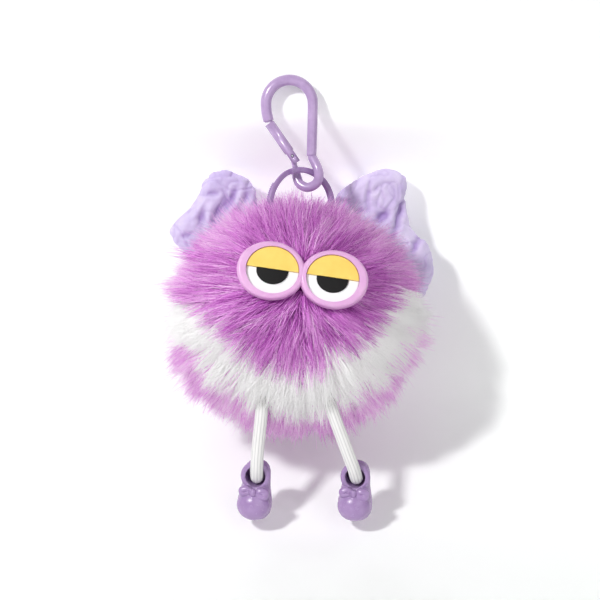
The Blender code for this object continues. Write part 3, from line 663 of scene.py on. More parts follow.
def make_ring():
    """Two turns of flattened wire with rounded edges, closed over each other."""
    steps, count = 900, 20
    first, last = RING_CHANGEOVER * 1.1, 2 * math.tau - RING_CHANGEOVER * 1.1
    section = []
    for i in range(count):
        angle = math.tau * i / count
        c, s = math.cos(angle), math.sin(angle)
        section.append((
            RING_WIDTH / 2 * math.copysign(abs(c) ** 0.55, c),
            RING_LAYER / 2 * math.copysign(abs(s) ** 0.55, s),
        ))
    verts = []
    for i in range(steps + 1):
        turn = first + (last - first) * i / steps
        angle = RING_SPLIT - turn
        out = Vector((math.cos(angle), 0, math.sin(angle)))
        middle = out * RING_RADIUS + Vector((0, ring_layer(turn), 0))
        ribbed = turn < first + RIB_SPAN or turn > last - RIB_SPAN
        full = 1 + 0.17 * math.cos((turn - first) * math.tau / RIB_PITCH) if ribbed else 1
        verts += [middle + out * w * full + Vector((0, d * full, 0)) for w, d in section]
    faces = tube_faces(steps + 1, count)
    faces += [tuple(range(count)), tuple(range(steps * count, (steps + 1) * count))]
    mesh = bpy.data.meshes.new("split_ring_wire")
    mesh.from_pydata(verts, [], faces)
    mesh.transform(ring_frame())
    ring = to_scene("split_ring_wire", mesh)
    outward(ring.data)
    smooth(coat(ring, SHADED_RING_LACQUER), 50)
    belongs(ring, "ring", "lilac_lacquer", "split_ring")


make_hook()
make_ring()
refined("carabiner_gate", "gate_tube", LACQUER, "gate", "lilac_lacquer")
refined("gate_pivot_pin", "gate_pin", STEEL, "snap_hook", "bright_steel")
refined("gate_plunger", "plunger", STEEL, "gate", "bright_steel")
refined("gate_spring", "spring_coil", STEEL, "gate", "bright_steel", 60)
refined("hanging_tab", "webbing_tab", WEBBING, "ball", "lilac_webbing", 50)
refined("left_eye_washer", "left_washer", WHITE, "ball", "white_vinyl")
refined("right_eye_washer", "right_washer", WHITE, "ball", "white_vinyl")
for side in ("left", "right"):
    knot = refined(f"{side}_leg_knot", f"{side}_knot", CORD, f"{side}_foot", "white_cord", 80)
    heart = Vector(np.mean([v.co[:] for v in knot.data.vertices], axis=0))
    knot.data.transform(
        Matrix.Translation(heart - Vector((0, 0.5, 0)) * MM)
        @ Matrix.Scale(KNOT_SCALE, 4)
        @ Matrix.Translation(-heart)
    )

# ---------------------------------------------------------------- shoes

SHOE_VOXEL = 0.2 * MM


def loft(name, sections):
    """A closed shell through rings of points, each ring the same number long."""
    count = len(sections[0])
    verts = [p for ring in sections for p in ring]
    faces = tube_faces(len(sections), count)
    faces += [tuple(range(count)), tuple(range((len(sections) - 1) * count, len(sections) * count))]
    mesh = bpy.data.meshes.new(name)
    mesh.from_pydata(verts, [], faces)
    return to_scene(name, outward(mesh))


def lump(name, place, half, turn=0.0, power=2.0):
    """A rounded lump, turned in the plane that faces forward."""
    bm = bmesh.new()
    bmesh.ops.create_uvsphere(bm, u_segments=32, v_segments=20, radius=1)
    for v in bm.verts:
        full = sum(abs(c) ** power for c in v.co) ** (1 / power)
        v.co = Vector(c / full * h * MM for c, h in zip(v.co, half))
    bm.transform(Matrix.Translation(Vector(place) * MM) @ Matrix.Rotation(math.radians(turn), 4, "Y"))
    return to_scene(name, mesh_from(name, bm))


def torus(name, place, big, small, tilt):
    """An oval ring round the z-x plane, tipped about x."""
    bm = bmesh.new()
    rings = []
    for i in range(64):
        a = math.tau * i / 64
        out = Vector((math.cos(a) * big[0], 0, math.sin(a) * big[1])) * MM
        way = Vector((math.cos(a), 0, math.sin(a)))
        ring = []
        for k in range(20):
            b = math.tau * k / 20
            rise = Vector((0, small * MM * math.sin(b), 0))
            ring.append(bm.verts.new(out + way * small * MM * math.cos(b) + rise))
        rings.append(ring)
    for one, two in zip(rings, rings[1:] + rings[:1]):
        for k in range(20):
            bm.faces.new((one[k], one[(k + 1) % 20], two[(k + 1) % 20], two[k]))
    bm.transform(Matrix.Translation(Vector(place) * MM) @ Matrix.Rotation(math.radians(tilt), 4, "X"))
    return to_scene(name, outward(mesh_from(name, bm)))


def shoe_body():
    """Toe down, sole to the back, rounded like moulded vinyl, with a groove above the sole."""
    heights = [-12.9, -12.7, -12.1, -11.0, -9.4, -7.0, -4.0, -1.0, 2.0, 5.0, 8.0, 10.2, 11.6, 12.3, 12.6]
    widths = [0.3, 2.2, 3.9, 5.4, 6.5, 7.1, 7.1, 6.5, 5.9, 5.7, 5.5, 4.7, 3.4, 2.0, 0.3]
    fronts = [0.3, 1.6, 2.9, 4.2, 5.2, 5.9, 5.7, 5.0, 4.5, 4.2, 3.4, 2.4, 1.5, 0.8, 0.3]
    backs = [0.3, 1.8, 3.1, 4.0, 4.6, 4.8, 4.8, 4.8, 4.8, 4.8, 4.7, 4.2, 3.2, 1.9, 0.3]
    sections = []
    for z in np.linspace(-12.9, 12.6, 72):
        a, f, b = (float(np.interp(z, heights, row)) for row in (widths, fronts, backs))
        ring = []
        for i in range(64):
            t = math.tau * i / 64
            c, s = math.cos(t), math.sin(t)
            x = a * math.copysign(abs(c) ** 0.86, c)
            y = (b * abs(s) ** 0.62 if s > 0 else -f * abs(s) ** 0.95)
            groove = math.exp(-(((y - 2.3) / 0.34) ** 2)) * 0.34 if a > 3 else 0
            x *= 1 - groove / max(a, 1)
            ring.append(Vector((x, y, z)) * MM)
        sections.append(ring)
    return loft("shoe_body", sections)


def make_shoe_shape():
    shoe = shoe_body()
    collar = (0, -3.6, 5.6)
    for piece in (
        torus("collar", collar, (4.9, 5.0), 1.35, 14),
        lump("toe_cap", (0, -2.1, -6.3), (7.1, 5.5, 6.5)),
        lump("bow_left", (-3.4, -5.7, -0.7), (2.9, 1.8, 2.2), -16, 2.6),
        lump("bow_right", (3.6, -5.6, -1.4), (3.0, 1.8, 2.5), 12, 2.6),
        lump("bow_knot", (0, -6.7, -1.1), (1.25, 1.4, 1.7), 0, 2.3),
    ):
        shoe = carve(shoe, piece, "UNION")
    for x, z, turn in ((-3.1, -0.9, 78), (3.3, -1.4, 100), (-1.5, -1.0, 0), (1.55, -1.3, 0)):
        shoe = carve(shoe, lump("bow_dent", (x, -7.65, z), (0.35, 0.8, 1.4), turn, 2.0))
    hollow = oval_disc("hollow", Vector((4.15, 4.25)) * MM, 12 * MM, -6.3 * MM, 0.1 * MM, steps=48)
    hollow.data.transform(
        Matrix.Translation(Vector(collar) * MM) @ Matrix.Rotation(math.radians(14), 4, "X")
    )
    shoe = carve(shoe, hollow)
    remesh = shoe.modifiers.new("one_skin", "REMESH")
    remesh.mode = "VOXEL"
    remesh.voxel_size = SHOE_VOXEL
    relax = shoe.modifiers.new("moulded", "SMOOTH")
    relax.factor = 0.5
    relax.iterations = 2
    return settled(shoe, "shoe_shape")


def make_shoes():
    shape = make_shoe_shape()
    for label, points, lean in (("left", LEFT_LEG, 5), ("right", RIGHT_LEG, 3)):
        ankle = Vector(points[-1]) * MM
        shoe = to_scene(f"{label}_vinyl_shoe", shape.data.copy())
        middle = Vector((0, 2.2 * MM, -5.0 * MM))
        shoe.data.transform(
            Matrix.Translation(ankle)
            @ Matrix.Rotation(math.radians(lean), 4, "Y")
            @ Matrix.Translation(middle)
            @ Matrix.Rotation(math.radians(-8), 4, "Z")
        )
        outward(shoe.data)
        smooth(coat(shoe, VIOLET), 180)
        belongs(shoe, f"{label}_foot", "violet_vinyl", f"{label}_shoe")
    drop(shape)


make_shoes()

# ---------------------------------------------------------------- wings

LEFT_WING = (
    (-13.0, -55.0), (-14.2, -46.0), (-17.2, -40.0), (-26.4, -35.2), (-36.0, -38.2), (-41.2, -46.8),
    (-45.6, -52.4), (-50.6, -58.4), (-49.6, -63.5), (-43.0, -70.5), (-33.0, -75.0), (-20.0, -75.0),
    (-12.5, -68.0),
)
RIGHT_WING = (
    (18.0, -58.0), (19.8, -50.8), (21.2, -45.6), (27.2, -40.2), (33.4, -36.2), (39.4, -34.8),
    (45.2, -35.8), (49.6, -40.0), (51.0, -52.8), (53.4, -59.6), (58.6, -65.2), (61.2, -73.0),
    (59.6, -81.0), (55.0, -88.0), (46.0, -88.0), (36.0, -82.0), (24.0, -76.0), (17.6, -68.0),
)
WING_Y = 27.0 * MM
CLOTH_SCALE = 10.0  # the simulation runs on a copy this much larger
WING_INSET = 0.985  # the flat pad, before it is blown up, against the outline
WING_VOXEL = 0.95 * MM
WING_PUFF = 3.0 * MM  # no point moves further than this when it is blown up
WING_FULLNESS = 1.045  # the finished wing against the outline


def closed_outline(points, per_side=5):
    count = len(points)
    outline = []
    for i in range(count):
        a, b, c, d = (np.array(points[(i + k - 1) % count], float) for k in range(4))
        for k in range(per_side):
            outline.append(catmull(a, b, c, d, k / per_side))
    return np.array(outline)


def pillow(name, outline, thickness, voxel):
    """A thin closed pad with that outline in x and z, as one even skin."""
    bm = bmesh.new()
    low = [bm.verts.new((x, -thickness / 2, z)) for x, z in outline]
    high = [bm.verts.new((x, thickness / 2, z)) for x, z in outline]
    bm.faces.new(low)
    bm.faces.new(high)
    for i in range(len(outline)):
        j = (i + 1) % len(outline)
        bm.faces.new((low[i], low[j], high[j], high[i]))
    pad = to_scene(name, outward(mesh_from(name, bm)))
    skin = pad.modifiers.new("skin", "REMESH")
    skin.mode = "VOXEL"
    skin.voxel_size = voxel
    return settled(pad, name)


def inflate(pad, pressure, growth, frames):
    """Blows a pad up with cloth that has grown a little, so that it crinkles."""
    cloth = pad.modifiers.new("cloth", "CLOTH")
    settings = cloth.settings
    settings.quality = 6
    settings.mass = 0.15
    settings.tension_stiffness = settings.compression_stiffness = 18
    settings.shear_stiffness = 10
    settings.bending_stiffness = 0.05
    settings.use_pressure = True
    settings.uniform_pressure_force = pressure
    settings.shrink_min = -growth
    settings.effector_weights.gravity = 0
    cloth.collision_settings.use_collision = False
    cloth.point_cache.frame_start, cloth.point_cache.frame_end = 1, frames
    scene = bpy.context.scene
    for step in range(1, frames + 1):
        scene.frame_set(step)
    made = settled(pad, pad.name)
    scene.frame_set(1)
    return made


def crinkle(mesh, seed, folds):
    """Soft creases on both sides of a pad, and given folds: (x, z, length, lean, depth, width)."""
    count = len(mesh.vertices)
    places = np.empty(count * 3)
    mesh.vertices.foreach_get("co", places)
    places = places.reshape(-1, 3)
    normals = np.array([v.normal for v in mesh.vertices])
    rng = np.random.default_rng(seed)
    low, high = places.min(0), places.max(0)
    shift = np.zeros(count)
    lines = [(x * MM, z * MM, ln * MM, lean, dp * MM, w * MM, -1) for x, z, ln, lean, dp, w in folds]
    for _ in range(30):
        lines.append((
            rng.uniform(low[0], high[0]), rng.uniform(low[2], high[2]), rng.uniform(5, 13) * MM,
            rng.uniform(0, 180), rng.uniform(0.15, 0.42) * MM, rng.uniform(0.8, 1.5) * MM,
            rng.choice((-1, 1)),
        ))
    for x, z, length, lean, depth, width, side in lines:
        way = np.array((math.cos(math.radians(lean)), math.sin(math.radians(lean))))
        rel = places[:, [0, 2]] - (x, z)
        along = rel @ way
        off = rel @ np.array((-way[1], way[0])) + 0.6 * MM * np.sin(along / (3 * MM) + x * 900)
        fade = np.exp(-((along / (length / 2)) ** 2) * 1.4)
        bowl = np.exp(-((off / width) ** 2)) * fade
        lip = np.exp(-(((np.abs(off) - 1.9 * width) / width) ** 2)) * fade
        facing = np.where(normals[:, 1] * side > 0, 1.0, 0.25)
        shift += facing * (-depth * bowl + 0.35 * depth * lip)
    depths = np.zeros(count)
    waves = np.zeros(count)
    for i, row in enumerate(places):
        place = Vector(row)
        warped = place + 4 * MM * noise.noise_vector(place * 120 + Vector((seed, 0, 0)))
        depths[i] = sum(
            -depth * MM * math.exp(-((noise.noise(warped * scale + Vector((0, 0, seed))) / width) ** 2))
            for scale, depth, width in ((72, 0.52, 0.055), (140, 0.42, 0.065), (270, 0.17, 0.09))
        )
        waves[i] = 0.22 * MM * noise.noise(place * 130)
    moved = places + normals * (shift + depths + waves)[:, None]
    mesh.vertices.foreach_set("co", moved.astype(np.float32).ravel())
    # Painted shade: how far each point lies down in a crease, which darkens the cloth there.
    crease_shading = np.clip(-(depths + 1.2 * shift) / (1.5 * MM), 0, 1).astype(np.float32)
    mesh.attributes.new("crease_shade", "FLOAT", "POINT").data.foreach_set("value", crease_shading)
    mesh.update()


def finer(obj, name):
    """The object subdivided once."""
    modifier = obj.modifiers.new("finer", "SUBSURF")
    modifier.levels = modifier.render_levels = 1
    return settled(obj, name)


def make_wing(label, points, seed, folds):
    outline = closed_outline(points) * MM
    middle = outline.mean(0)
    inner = middle + (outline - middle) * WING_INSET
    pad = pillow(
        f"{label}_cloth_wing", inner * CLOTH_SCALE, 2.6 * MM * CLOTH_SCALE, WING_VOXEL * CLOTH_SCALE
    )
    before = np.array([v.co[:] for v in pad.data.vertices])
    pad = inflate(pad, 2.2, 0.05, 20)
    after = np.array([v.co[:] for v in pad.data.vertices])
    move = after - before
    most = WING_PUFF * CLOTH_SCALE
    size = np.linalg.norm(move, axis=1)
    move *= np.minimum(1, most / np.maximum(size, 1e-9))[:, None]
    move[:, [0, 2]] *= 0.6
    after = (before + move) / CLOTH_SCALE
    low, high, want_low, want_high = after.min(0), after.max(0), outline.min(0), outline.max(0)
    for axis, wanted in ((0, 0), (2, 1)):
        share = (after[:, axis] - low[axis]) / (high[axis] - low[axis])
        after[:, axis] = want_low[wanted] + share * (want_high[wanted] - want_low[wanted])
    centre = after.mean(0)
    for v, place in zip(pad.data.vertices, after):
        v.co = centre + (place - centre) * (WING_FULLNESS, 1, WING_FULLNESS)
    pad.data.update()
    pad = finer(pad, pad.name)
    crinkle(pad.data, seed, folds)
    pad.data.transform(Matrix.Translation((0, WING_Y, 0)))
    wing = finer(pad, f"{label}_cloth_wing")
    outward(wing.data)
    smooth(coat(wing, CLOTH), 180)
    belongs(wing, f"{label}_wing", "lavender_cloth", f"{label}_wing")


make_wing("left", LEFT_WING, 5, (
    (-29, -52, 18, 62, 1.8, 2.2), (-37, -55, 12, 80, 1.0, 1.6), (-24, -46, 8, 60, 1.1, 1.2),
    (-19, -46, 9, 70, 1.2, 1.5), (-44, -63, 8, 10, 0.9, 1.2), (-33, -44, 10, 0, 0.7, 1.2),
))
make_wing("right", RIGHT_WING, 8, (
    (40, -55, 7, 35, 2.2, 1.8), (47.5, -54, 13, 78, 1.6, 1.5), (34, -46, 16, 92, 0.8, 1.1),
    (29, -52, 8, 10, 0.8, 1.0), (55, -66, 13, 70, 1.0, 1.4), (44, -62, 10, 60, 1.0, 1.3),
    (37, -42, 6, 40, 0.7, 0.9),
))

# ---------------------------------------------------------------- pile

BALL = np.array((2.5, 0.0, -97.6)) * MM
TIPS = np.array((55.5, 42.0, 51.5)) * MM
SKIN = np.array((38.0, 29.0, 34.5)) * MM
SEAM_Y = 8.0 * MM
FACE_WAY = np.array((0.05, -0.94, 0.34))
UPPER_EDGE = (
    (-70, -86), (-51, -89), (-40, -101), (-30, -109), (-19.5, -118), (-10, -124), (5, -130),
    (16, -122.5), (26.5, -117), (38, -109), (46, -98), (53, -89), (75, -85),
)
LOWER_EDGE = (
    (-70, -104), (-51, -107.5), (-40, -117), (-35, -126.5), (-27, -131.5), (-19.5, -137), (-8, -141.5),
    (7, -144), (19, -140.5), (29, -136), (41, -128), (49, -120.5), (52, -113.5), (57, -104.5),
    (75, -101),
)
# Six orchid shades from deep to pale; the deep ones are painted shade at the roots and round the eye plate.
ORCHIDS = [
    pile_look(f"orchid_pile_{i}", srgb(*c))
    for i, c in enumerate(
        ((134, 46, 138), (176, 80, 178), (208, 118, 208), (229, 153, 228), (243, 188, 241), (252, 221, 249))
    )
]
# White shades; the greyest is painted shade between the strands near their roots.
WHITES = [
    pile_look(f"white_pile_{i}", srgb(*c))
    for i, c in enumerate(((214, 203, 215), (238, 230, 236), (251, 247, 249), (255, 254, 254)))
]
BLUSH = pile_look("blush_pile", srgb(238, 205, 236))
STRANDS_DRAWN, STRANDS_PER_PIECE = 214000, 9500
TUFTS, LOCKS = 5200, 420
STRAND_RADIUS = 0.145 * MM
LEG_CLEAR_BELOW = -0.130  # below this height no strand grows inside a leg


def unit(rows):
    return rows / np.linalg.norm(rows, axis=-1, keepdims=True)


def strand_tree():
    """Geometry nodes that grow one tapered strand from each root, along its rise and lay."""
    tree = bpy.data.node_groups.new("pile_strands", "GeometryNodeTree")
    face = tree.interface
    face.new_socket("Roots", in_out="INPUT", socket_type="NodeSocketGeometry")
    face.new_socket("Strand Radius", in_out="INPUT", socket_type="NodeSocketFloat")
    face.new_socket("Joints", in_out="INPUT", socket_type="NodeSocketInt")
    face.new_socket("Sides", in_out="INPUT", socket_type="NodeSocketInt")
    face.new_socket("Pile Shade", in_out="INPUT", socket_type="NodeSocketMaterial")
    face.new_socket("Pile", in_out="OUTPUT", socket_type="NodeSocketGeometry")
    nodes, links = tree.nodes, tree.links
    given = nodes.new("NodeGroupInput")
    result = nodes.new("NodeGroupOutput")

    def attribute(name, kind):
        made = nodes.new("GeometryNodeInputNamedAttribute")
        made.data_type = kind
        made.inputs["Name"].default_value = name
        return made.outputs["Attribute"]

    def maths(operation, one, two):
        made = nodes.new("ShaderNodeMath")
        made.operation = operation
        for socket, value in zip(made.inputs, (one, two)):
            if isinstance(value, (int, float)):
                socket.default_value = value
            else:
                links.new(value, socket)
        return made.outputs[0]

    def scaled(vector, factor):
        made = nodes.new("ShaderNodeVectorMath")
        made.operation = "SCALE"
        links.new(vector, made.inputs[0])
        links.new(factor, made.inputs["Scale"])
        return made.outputs[0]

    def vectors(operation, one, two):
        made = nodes.new("ShaderNodeVectorMath")
        made.operation = operation
        links.new(one, made.inputs[0])
        links.new(two, made.inputs[1])
        return made.outputs[0]

    line = nodes.new("GeometryNodeCurvePrimitiveLine")
    line.inputs["End"].default_value = (0, 0, 1)
    joints = nodes.new("GeometryNodeResampleCurve")
    links.new(line.outputs[0], joints.inputs["Curve"])
    links.new(given.outputs["Joints"], joints.inputs["Count"])
    planted = nodes.new("GeometryNodeInstanceOnPoints")
    links.new(given.outputs["Roots"], planted.inputs["Points"])
    links.new(joints.outputs[0], planted.inputs["Instance"])
    loose = nodes.new("GeometryNodeRealizeInstances")
    links.new(planted.outputs[0], loose.inputs[0])

    share = nodes.new("GeometryNodeSplineParameter").outputs["Factor"]
    square = maths("MULTIPLY", share, share)
    upright = nodes.new("ShaderNodeCombineXYZ")
    links.new(share, upright.inputs["Z"])
    path = vectors(
        "ADD",
        scaled(attribute("rise", "FLOAT_VECTOR"), share),
        scaled(attribute("lay", "FLOAT_VECTOR"), square),
    )
    bent = nodes.new("GeometryNodeSetPosition")
    links.new(loose.outputs[0], bent.inputs["Geometry"])
    links.new(vectors("SUBTRACT", path, upright.outputs[0]), bent.inputs["Offset"])

    marked = nodes.new("GeometryNodeStoreNamedAttribute")
    marked.data_type = "FLOAT"
    marked.domain = "POINT"
    marked.inputs["Name"].default_value = "along"
    links.new(bent.outputs[0], marked.inputs["Geometry"])
    links.new(share, marked.inputs["Value"])

    taper = maths("SUBTRACT", 1.0, maths("MULTIPLY", maths("POWER", share, 1.8), 0.86))
    girth = maths("MULTIPLY", attribute("girth", "FLOAT"), given.outputs["Strand Radius"])

    section = nodes.new("GeometryNodeCurvePrimitiveCircle")
    section.inputs["Radius"].default_value = 1.0
    links.new(given.outputs["Sides"], section.inputs["Resolution"])
    solid = nodes.new("GeometryNodeCurveToMesh")
    links.new(marked.outputs[0], solid.inputs["Curve"])
    links.new(maths("MULTIPLY", girth, taper), solid.inputs["Scale"])
    links.new(section.outputs[0], solid.inputs["Profile Curve"])
    solid.inputs["Fill Caps"].default_value = True
    real = nodes.new("GeometryNodeRealizeInstances")
    links.new(solid.outputs[0], real.inputs[0])
    dyed = nodes.new("GeometryNodeSetMaterial")
    links.new(real.outputs[0], dyed.inputs["Geometry"])
    links.new(given.outputs["Pile Shade"], dyed.inputs["Material"])
    links.new(dyed.outputs[0], result.inputs["Pile"])
    return tree


PILE_TREE = strand_tree()


def read(rows, label, kind, width=1):
    """One property of every row of a Blender collection, as a flat array."""
    values = np.empty(len(rows) * width, kind)
    rows.foreach_get(label, values)
    return values


def grow(name, roots, rise, lay, girth, shade, radius, looks, joints):
    """One piece of pile: strands grown from their roots, with a shade picked for each stretch, deeper towards
    the root as painted shade.
    """
    mesh = bpy.data.meshes.new(name + "_roots")
    mesh.from_pydata([tuple(p) for p in roots], [], [])
    for label, kind, rows in (("rise", "FLOAT_VECTOR", rise), ("lay", "FLOAT_VECTOR", lay)):
        mesh.attributes.new(label, kind, "POINT").data.foreach_set("vector", rows.astype(np.float32).ravel())
    for label, row in (("girth", girth), ("shade", shade)):
        mesh.attributes.new(label, "FLOAT", "POINT").data.foreach_set("value", row.astype(np.float32))
    holder = to_scene(name + "_roots", mesh)
    modifier = holder.modifiers.new("strands", "NODES")
    modifier.node_group = PILE_TREE
    values = {"Strand Radius": radius, "Joints": joints, "Sides": 3, "Pile Shade": looks[0]}
    for item in PILE_TREE.interface.items_tree:
        if item.in_out == "INPUT" and item.name in values:
            modifier[item.identifier] = values[item.name]
    piece = settled(holder, name)
    data = piece.data
    coat(piece, *looks)
    along = read(data.attributes["along"].data, "value", np.float32)
    tone = read(data.attributes["shade"].data, "value", np.float32)
    starts = read(data.polygons, "loop_start", np.int32)
    sizes = read(data.polygons, "loop_total", np.int32)
    corners = read(data.loops, "vertex_index", np.int32)
    middle = np.add.reduceat(along[corners], starts) / sizes
    base = np.add.reduceat(tone[corners], starts) / sizes
    # Painted shade: each stretch takes a deeper shade the nearer it lies to the root, and a paler one towards
    # the tip.
    pick = np.clip(np.floor(base + middle * 2.6), 0, len(looks) - 1).astype(np.int32)
    data.polygons.foreach_set("material_index", pick)
    for label in ("rise", "lay", "girth", "shade", "along"):
        if label in data.attributes:
            data.attributes.remove(data.attributes[label])
    data.shade_smooth()
    places = read(data.vertices, "co", np.float32, 3)
    own = read(data.vertices, "normal", np.float32, 3)
    around = unit((places.reshape(-1, 3) - BALL) / TIPS**2)
    data.normals_split_custom_set_from_vertices(unit(0.7 * own.reshape(-1, 3) + 0.3 * around).tolist())
    return piece


def comb(ways, rng, spread):
    """Where the tips of strands rooted in these directions lie: laid back from the face, more so in front."""
    facing = ways @ unit(FACE_WAY)
    away = unit(ways * facing[:, None] - unit(FACE_WAY))
    lean = np.radians(np.interp(facing, (-1, -0.4, 0.0, 0.35, 0.7, 1), (4, 6, 7, 11, 16, 18)))
    down = np.array((0.0, 0.0, -1.0))
    droop = unit(down - ways * (ways @ down)[:, None] + 1e-6)
    turned = (
        ways * np.cos(lean)[:, None]
        + away * np.sin(lean)[:, None]
        + droop * 0.05
        + rng.normal(0, spread, ways.shape)
    )
    return unit(turned)


def edge_height(edge, x):
    xs, zs = zip(*edge)
    return np.interp(x / MM, xs, zs) * MM


def in_plate(points, margin, front):
    """Whether points lie in front of the eye plate's back and inside its outline."""
    back = np.array(PLATE.inverted())
    local = points @ back[:3, :3].T + back[:3, 3]
    hit = np.zeros(len(points), bool)
    for side in (-1, 1):
        x = (local[:, 0] - side * EYE_SPACING / 2) / (RIM_HALF.x + margin)
        z = local[:, 2] / (RIM_HALF.y + margin)
        hit |= (x * x + z * z < 1) & (local[:, 1] < front)
    return hit


def near_leg(points, margin):
    """Whether points lie inside a leg, or in front of one where it hangs clear of the ball."""
    hit = np.zeros(len(points), bool)
    for route in LEG_ROUTES.values():
        shown = route[route[:, 2] < -0.128]
        x = np.interp(-points[:, 2], -shown[:, 2], shown[:, 0])
        y = np.interp(-points[:, 2], -shown[:, 2], shown[:, 1])
        wide = np.abs(points[:, 0] - x) < LEG_DIAMETER / 2 + margin
        over = points[:, 1] < y + LEG_DIAMETER / 2 + 0.5 * MM
        bared = np.interp(-points[:, 2], (0.134, 0.139), (0, 1)) > 0.5
        inside = (points[:, 0] - x) ** 2 + (points[:, 1] - y) ** 2 < (LEG_DIAMETER / 2) ** 2
        hit |= (wide & over & bared) | (inside & (points[:, 2] < LEG_CLEAR_BELOW))
    return hit


def behind_wing(points):
    """Whether points lie in a wing or behind it."""
    hit = np.zeros(len(points), bool)
    for name in ("left_wing", "right_wing"):
        low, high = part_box(name)
        inside = (points[:, 0] > low[0] + 2 * MM) & (points[:, 0] < high[0] - 2 * MM)
        inside &= points[:, 2] > low[2] + 3 * MM
        hit |= inside & (points[:, 1] > WING_Y - 3.5 * MM)
    return hit


def nearest(targets, rows):
    """For each row, which of the targets is closest to it."""
    finder = kdtree.KDTree(len(targets))
    for i, way in enumerate(targets):
        finder.insert(way, i)
    finder.balance()
    return np.array([finder.find(way)[1] for way in rows])


def plan_pile():
    """Every strand of the ball: its root, its path and its dye."""
    rng = np.random.default_rng(41)
    ways = unit(rng.normal(0, 1, (STRANDS_DRAWN, 3)))
    keep = rng.random(STRANDS_DRAWN) < np.interp(ways[:, 1], (-1, -0.2, 0.15, 1), (0.62, 0.56, 0.30, 0.17))
    ways = ways[keep]

    tufts = unit(rng.normal(0, 1, (TUFTS, 3)))
    locks = unit(rng.normal(0, 1, (LOCKS, 3)))
    tuft_lock = nearest(locks, tufts)
    owner = nearest(tufts, ways)

    lock_tip = comb(locks, rng, 0.075)
    lock_size = rng.normal(1.0, 0.03, len(locks))
    tuft_tip = comb(tufts, rng, 0.075)
    tuft_tip = unit(tuft_tip + 0.32 * (lock_tip[tuft_lock] - unit(tuft_tip)))
    tuft_size = rng.normal(0.955, 0.03, len(tufts)) * lock_size[tuft_lock]
    tip = comb(ways, rng, 0.055)
    tip = unit(tip + 0.55 * (tuft_tip[owner] - tip))
    size = tuft_size[owner] * rng.normal(1.0, 0.03, len(ways)) - 0.10 * (rng.random(len(ways)) < 0.3)

    roots = BALL + SKIN * ways
    normals = unit(ways / SKIN)
    ends = BALL + TIPS * tip * size[:, None]
    reach = np.linalg.norm(ends - roots, axis=1)[:, None]
    sway = 0.26 * rng.normal(0, 1, (len(tufts), 3))[owner] + 0.16 * rng.normal(0, 1, ways.shape)
    rise = reach * (normals * 0.75 + sway - normals * (sway * normals).sum(1)[:, None])
    lay = ends - roots - rise

    tuft_end = BALL + TIPS * tuft_tip * 0.97
    judged = 0.55 * tuft_end[owner] + 0.45 * ends
    judged[:, 2] += rng.normal(0, 0.6 * MM, len(ways))
    upper, lower = edge_height(UPPER_EDGE, judged[:, 0]), edge_height(LOWER_EDGE, judged[:, 0])
    front = judged[:, 1] < SEAM_Y
    white = front & (judged[:, 2] < upper) & (judged[:, 2] > lower)
    near_edge = np.minimum(np.abs(judged[:, 2] - upper), np.abs(judged[:, 2] - lower)) < 2.5 * MM

    hidden = np.zeros(len(ways), bool)
    for share in (0.2, 0.4, 0.55, 0.7, 0.85, 1.0):
        at = roots + rise * share + lay * share**2
        hidden |= in_plate(at, 0.3 * MM, 1.2 * MM) | near_leg(at, 0.4 * MM) | behind_wing(at)
    # The shade of each strand: painted shade round the eye plate and at the back, painted light towards the
    # outline, and tone that differs at random by tuft and by strand.
    facing = ways @ unit(FACE_WAY)
    depth = np.interp(facing, (-1, -0.1, 0.3, 0.6, 0.8, 1), (1.7, 2.5, 2.5, 2.0, 1.2, 0.7))
    tuft_shade = rng.normal(0, 0.7, len(tufts))
    shade = depth + tuft_shade[owner] + rng.normal(0, 0.85, len(ways))
    return {
        "roots": roots, "rise": rise, "lay": lay, "white": white, "front": front, "hidden": hidden,
        "ends": ends, "shade": shade, "near_edge": near_edge, "below": judged[:, 2] < lower,
        "girth": rng.uniform(0.75, 1.25, len(ways)), "lot": rng.random(len(ways)),
    }


def make_pile():
    p = plan_pile()
    shown = ~p["hidden"]
    blush = p["white"] & p["near_edge"] & (p["lot"] < 0.3)
    groups = (
        ("face_pile", "orchid_fur", "face_fur_panel", p["front"] & ~p["white"] & ~p["below"], ORCHIDS),
        ("band_pile", "white_fur", "white_fur_band", p["white"] & ~blush, WHITES),
        ("blush_pile", "white_fur", None, blush, [WHITES[1], BLUSH, WHITES[2]]),
        ("lower_pile", "orchid_fur", "lower_fur_panel", p["front"] & ~p["white"] & p["below"], ORCHIDS),
        ("back_pile", "orchid_fur", "back_fur_panel", ~p["front"], ORCHIDS),
    )
    for name, slot, node, chosen, looks in groups:
        rows = np.flatnonzero(chosen & shown)
        rows = rows[np.argsort(p["ends"][rows, 0], kind="stable")]
        pieces = max(1, math.ceil(len(rows) / STRANDS_PER_PIECE))
        for k, part in enumerate(np.array_split(rows, pieces)):
            label = f"{name}_{k + 1}" if pieces > 1 else name
            shade = p["shade"][part]
            if looks is WHITES:
                shade = 0.7 + 0.6 * shade
            piece = grow(
                label, p["roots"][part], p["rise"][part], p["lay"][part], p["girth"][part], shade,
                STRAND_RADIUS, looks, 3 if name == "back_pile" else 4,
            )
            belongs(piece, "ball", slot, *([node] if node and k == 0 else []))


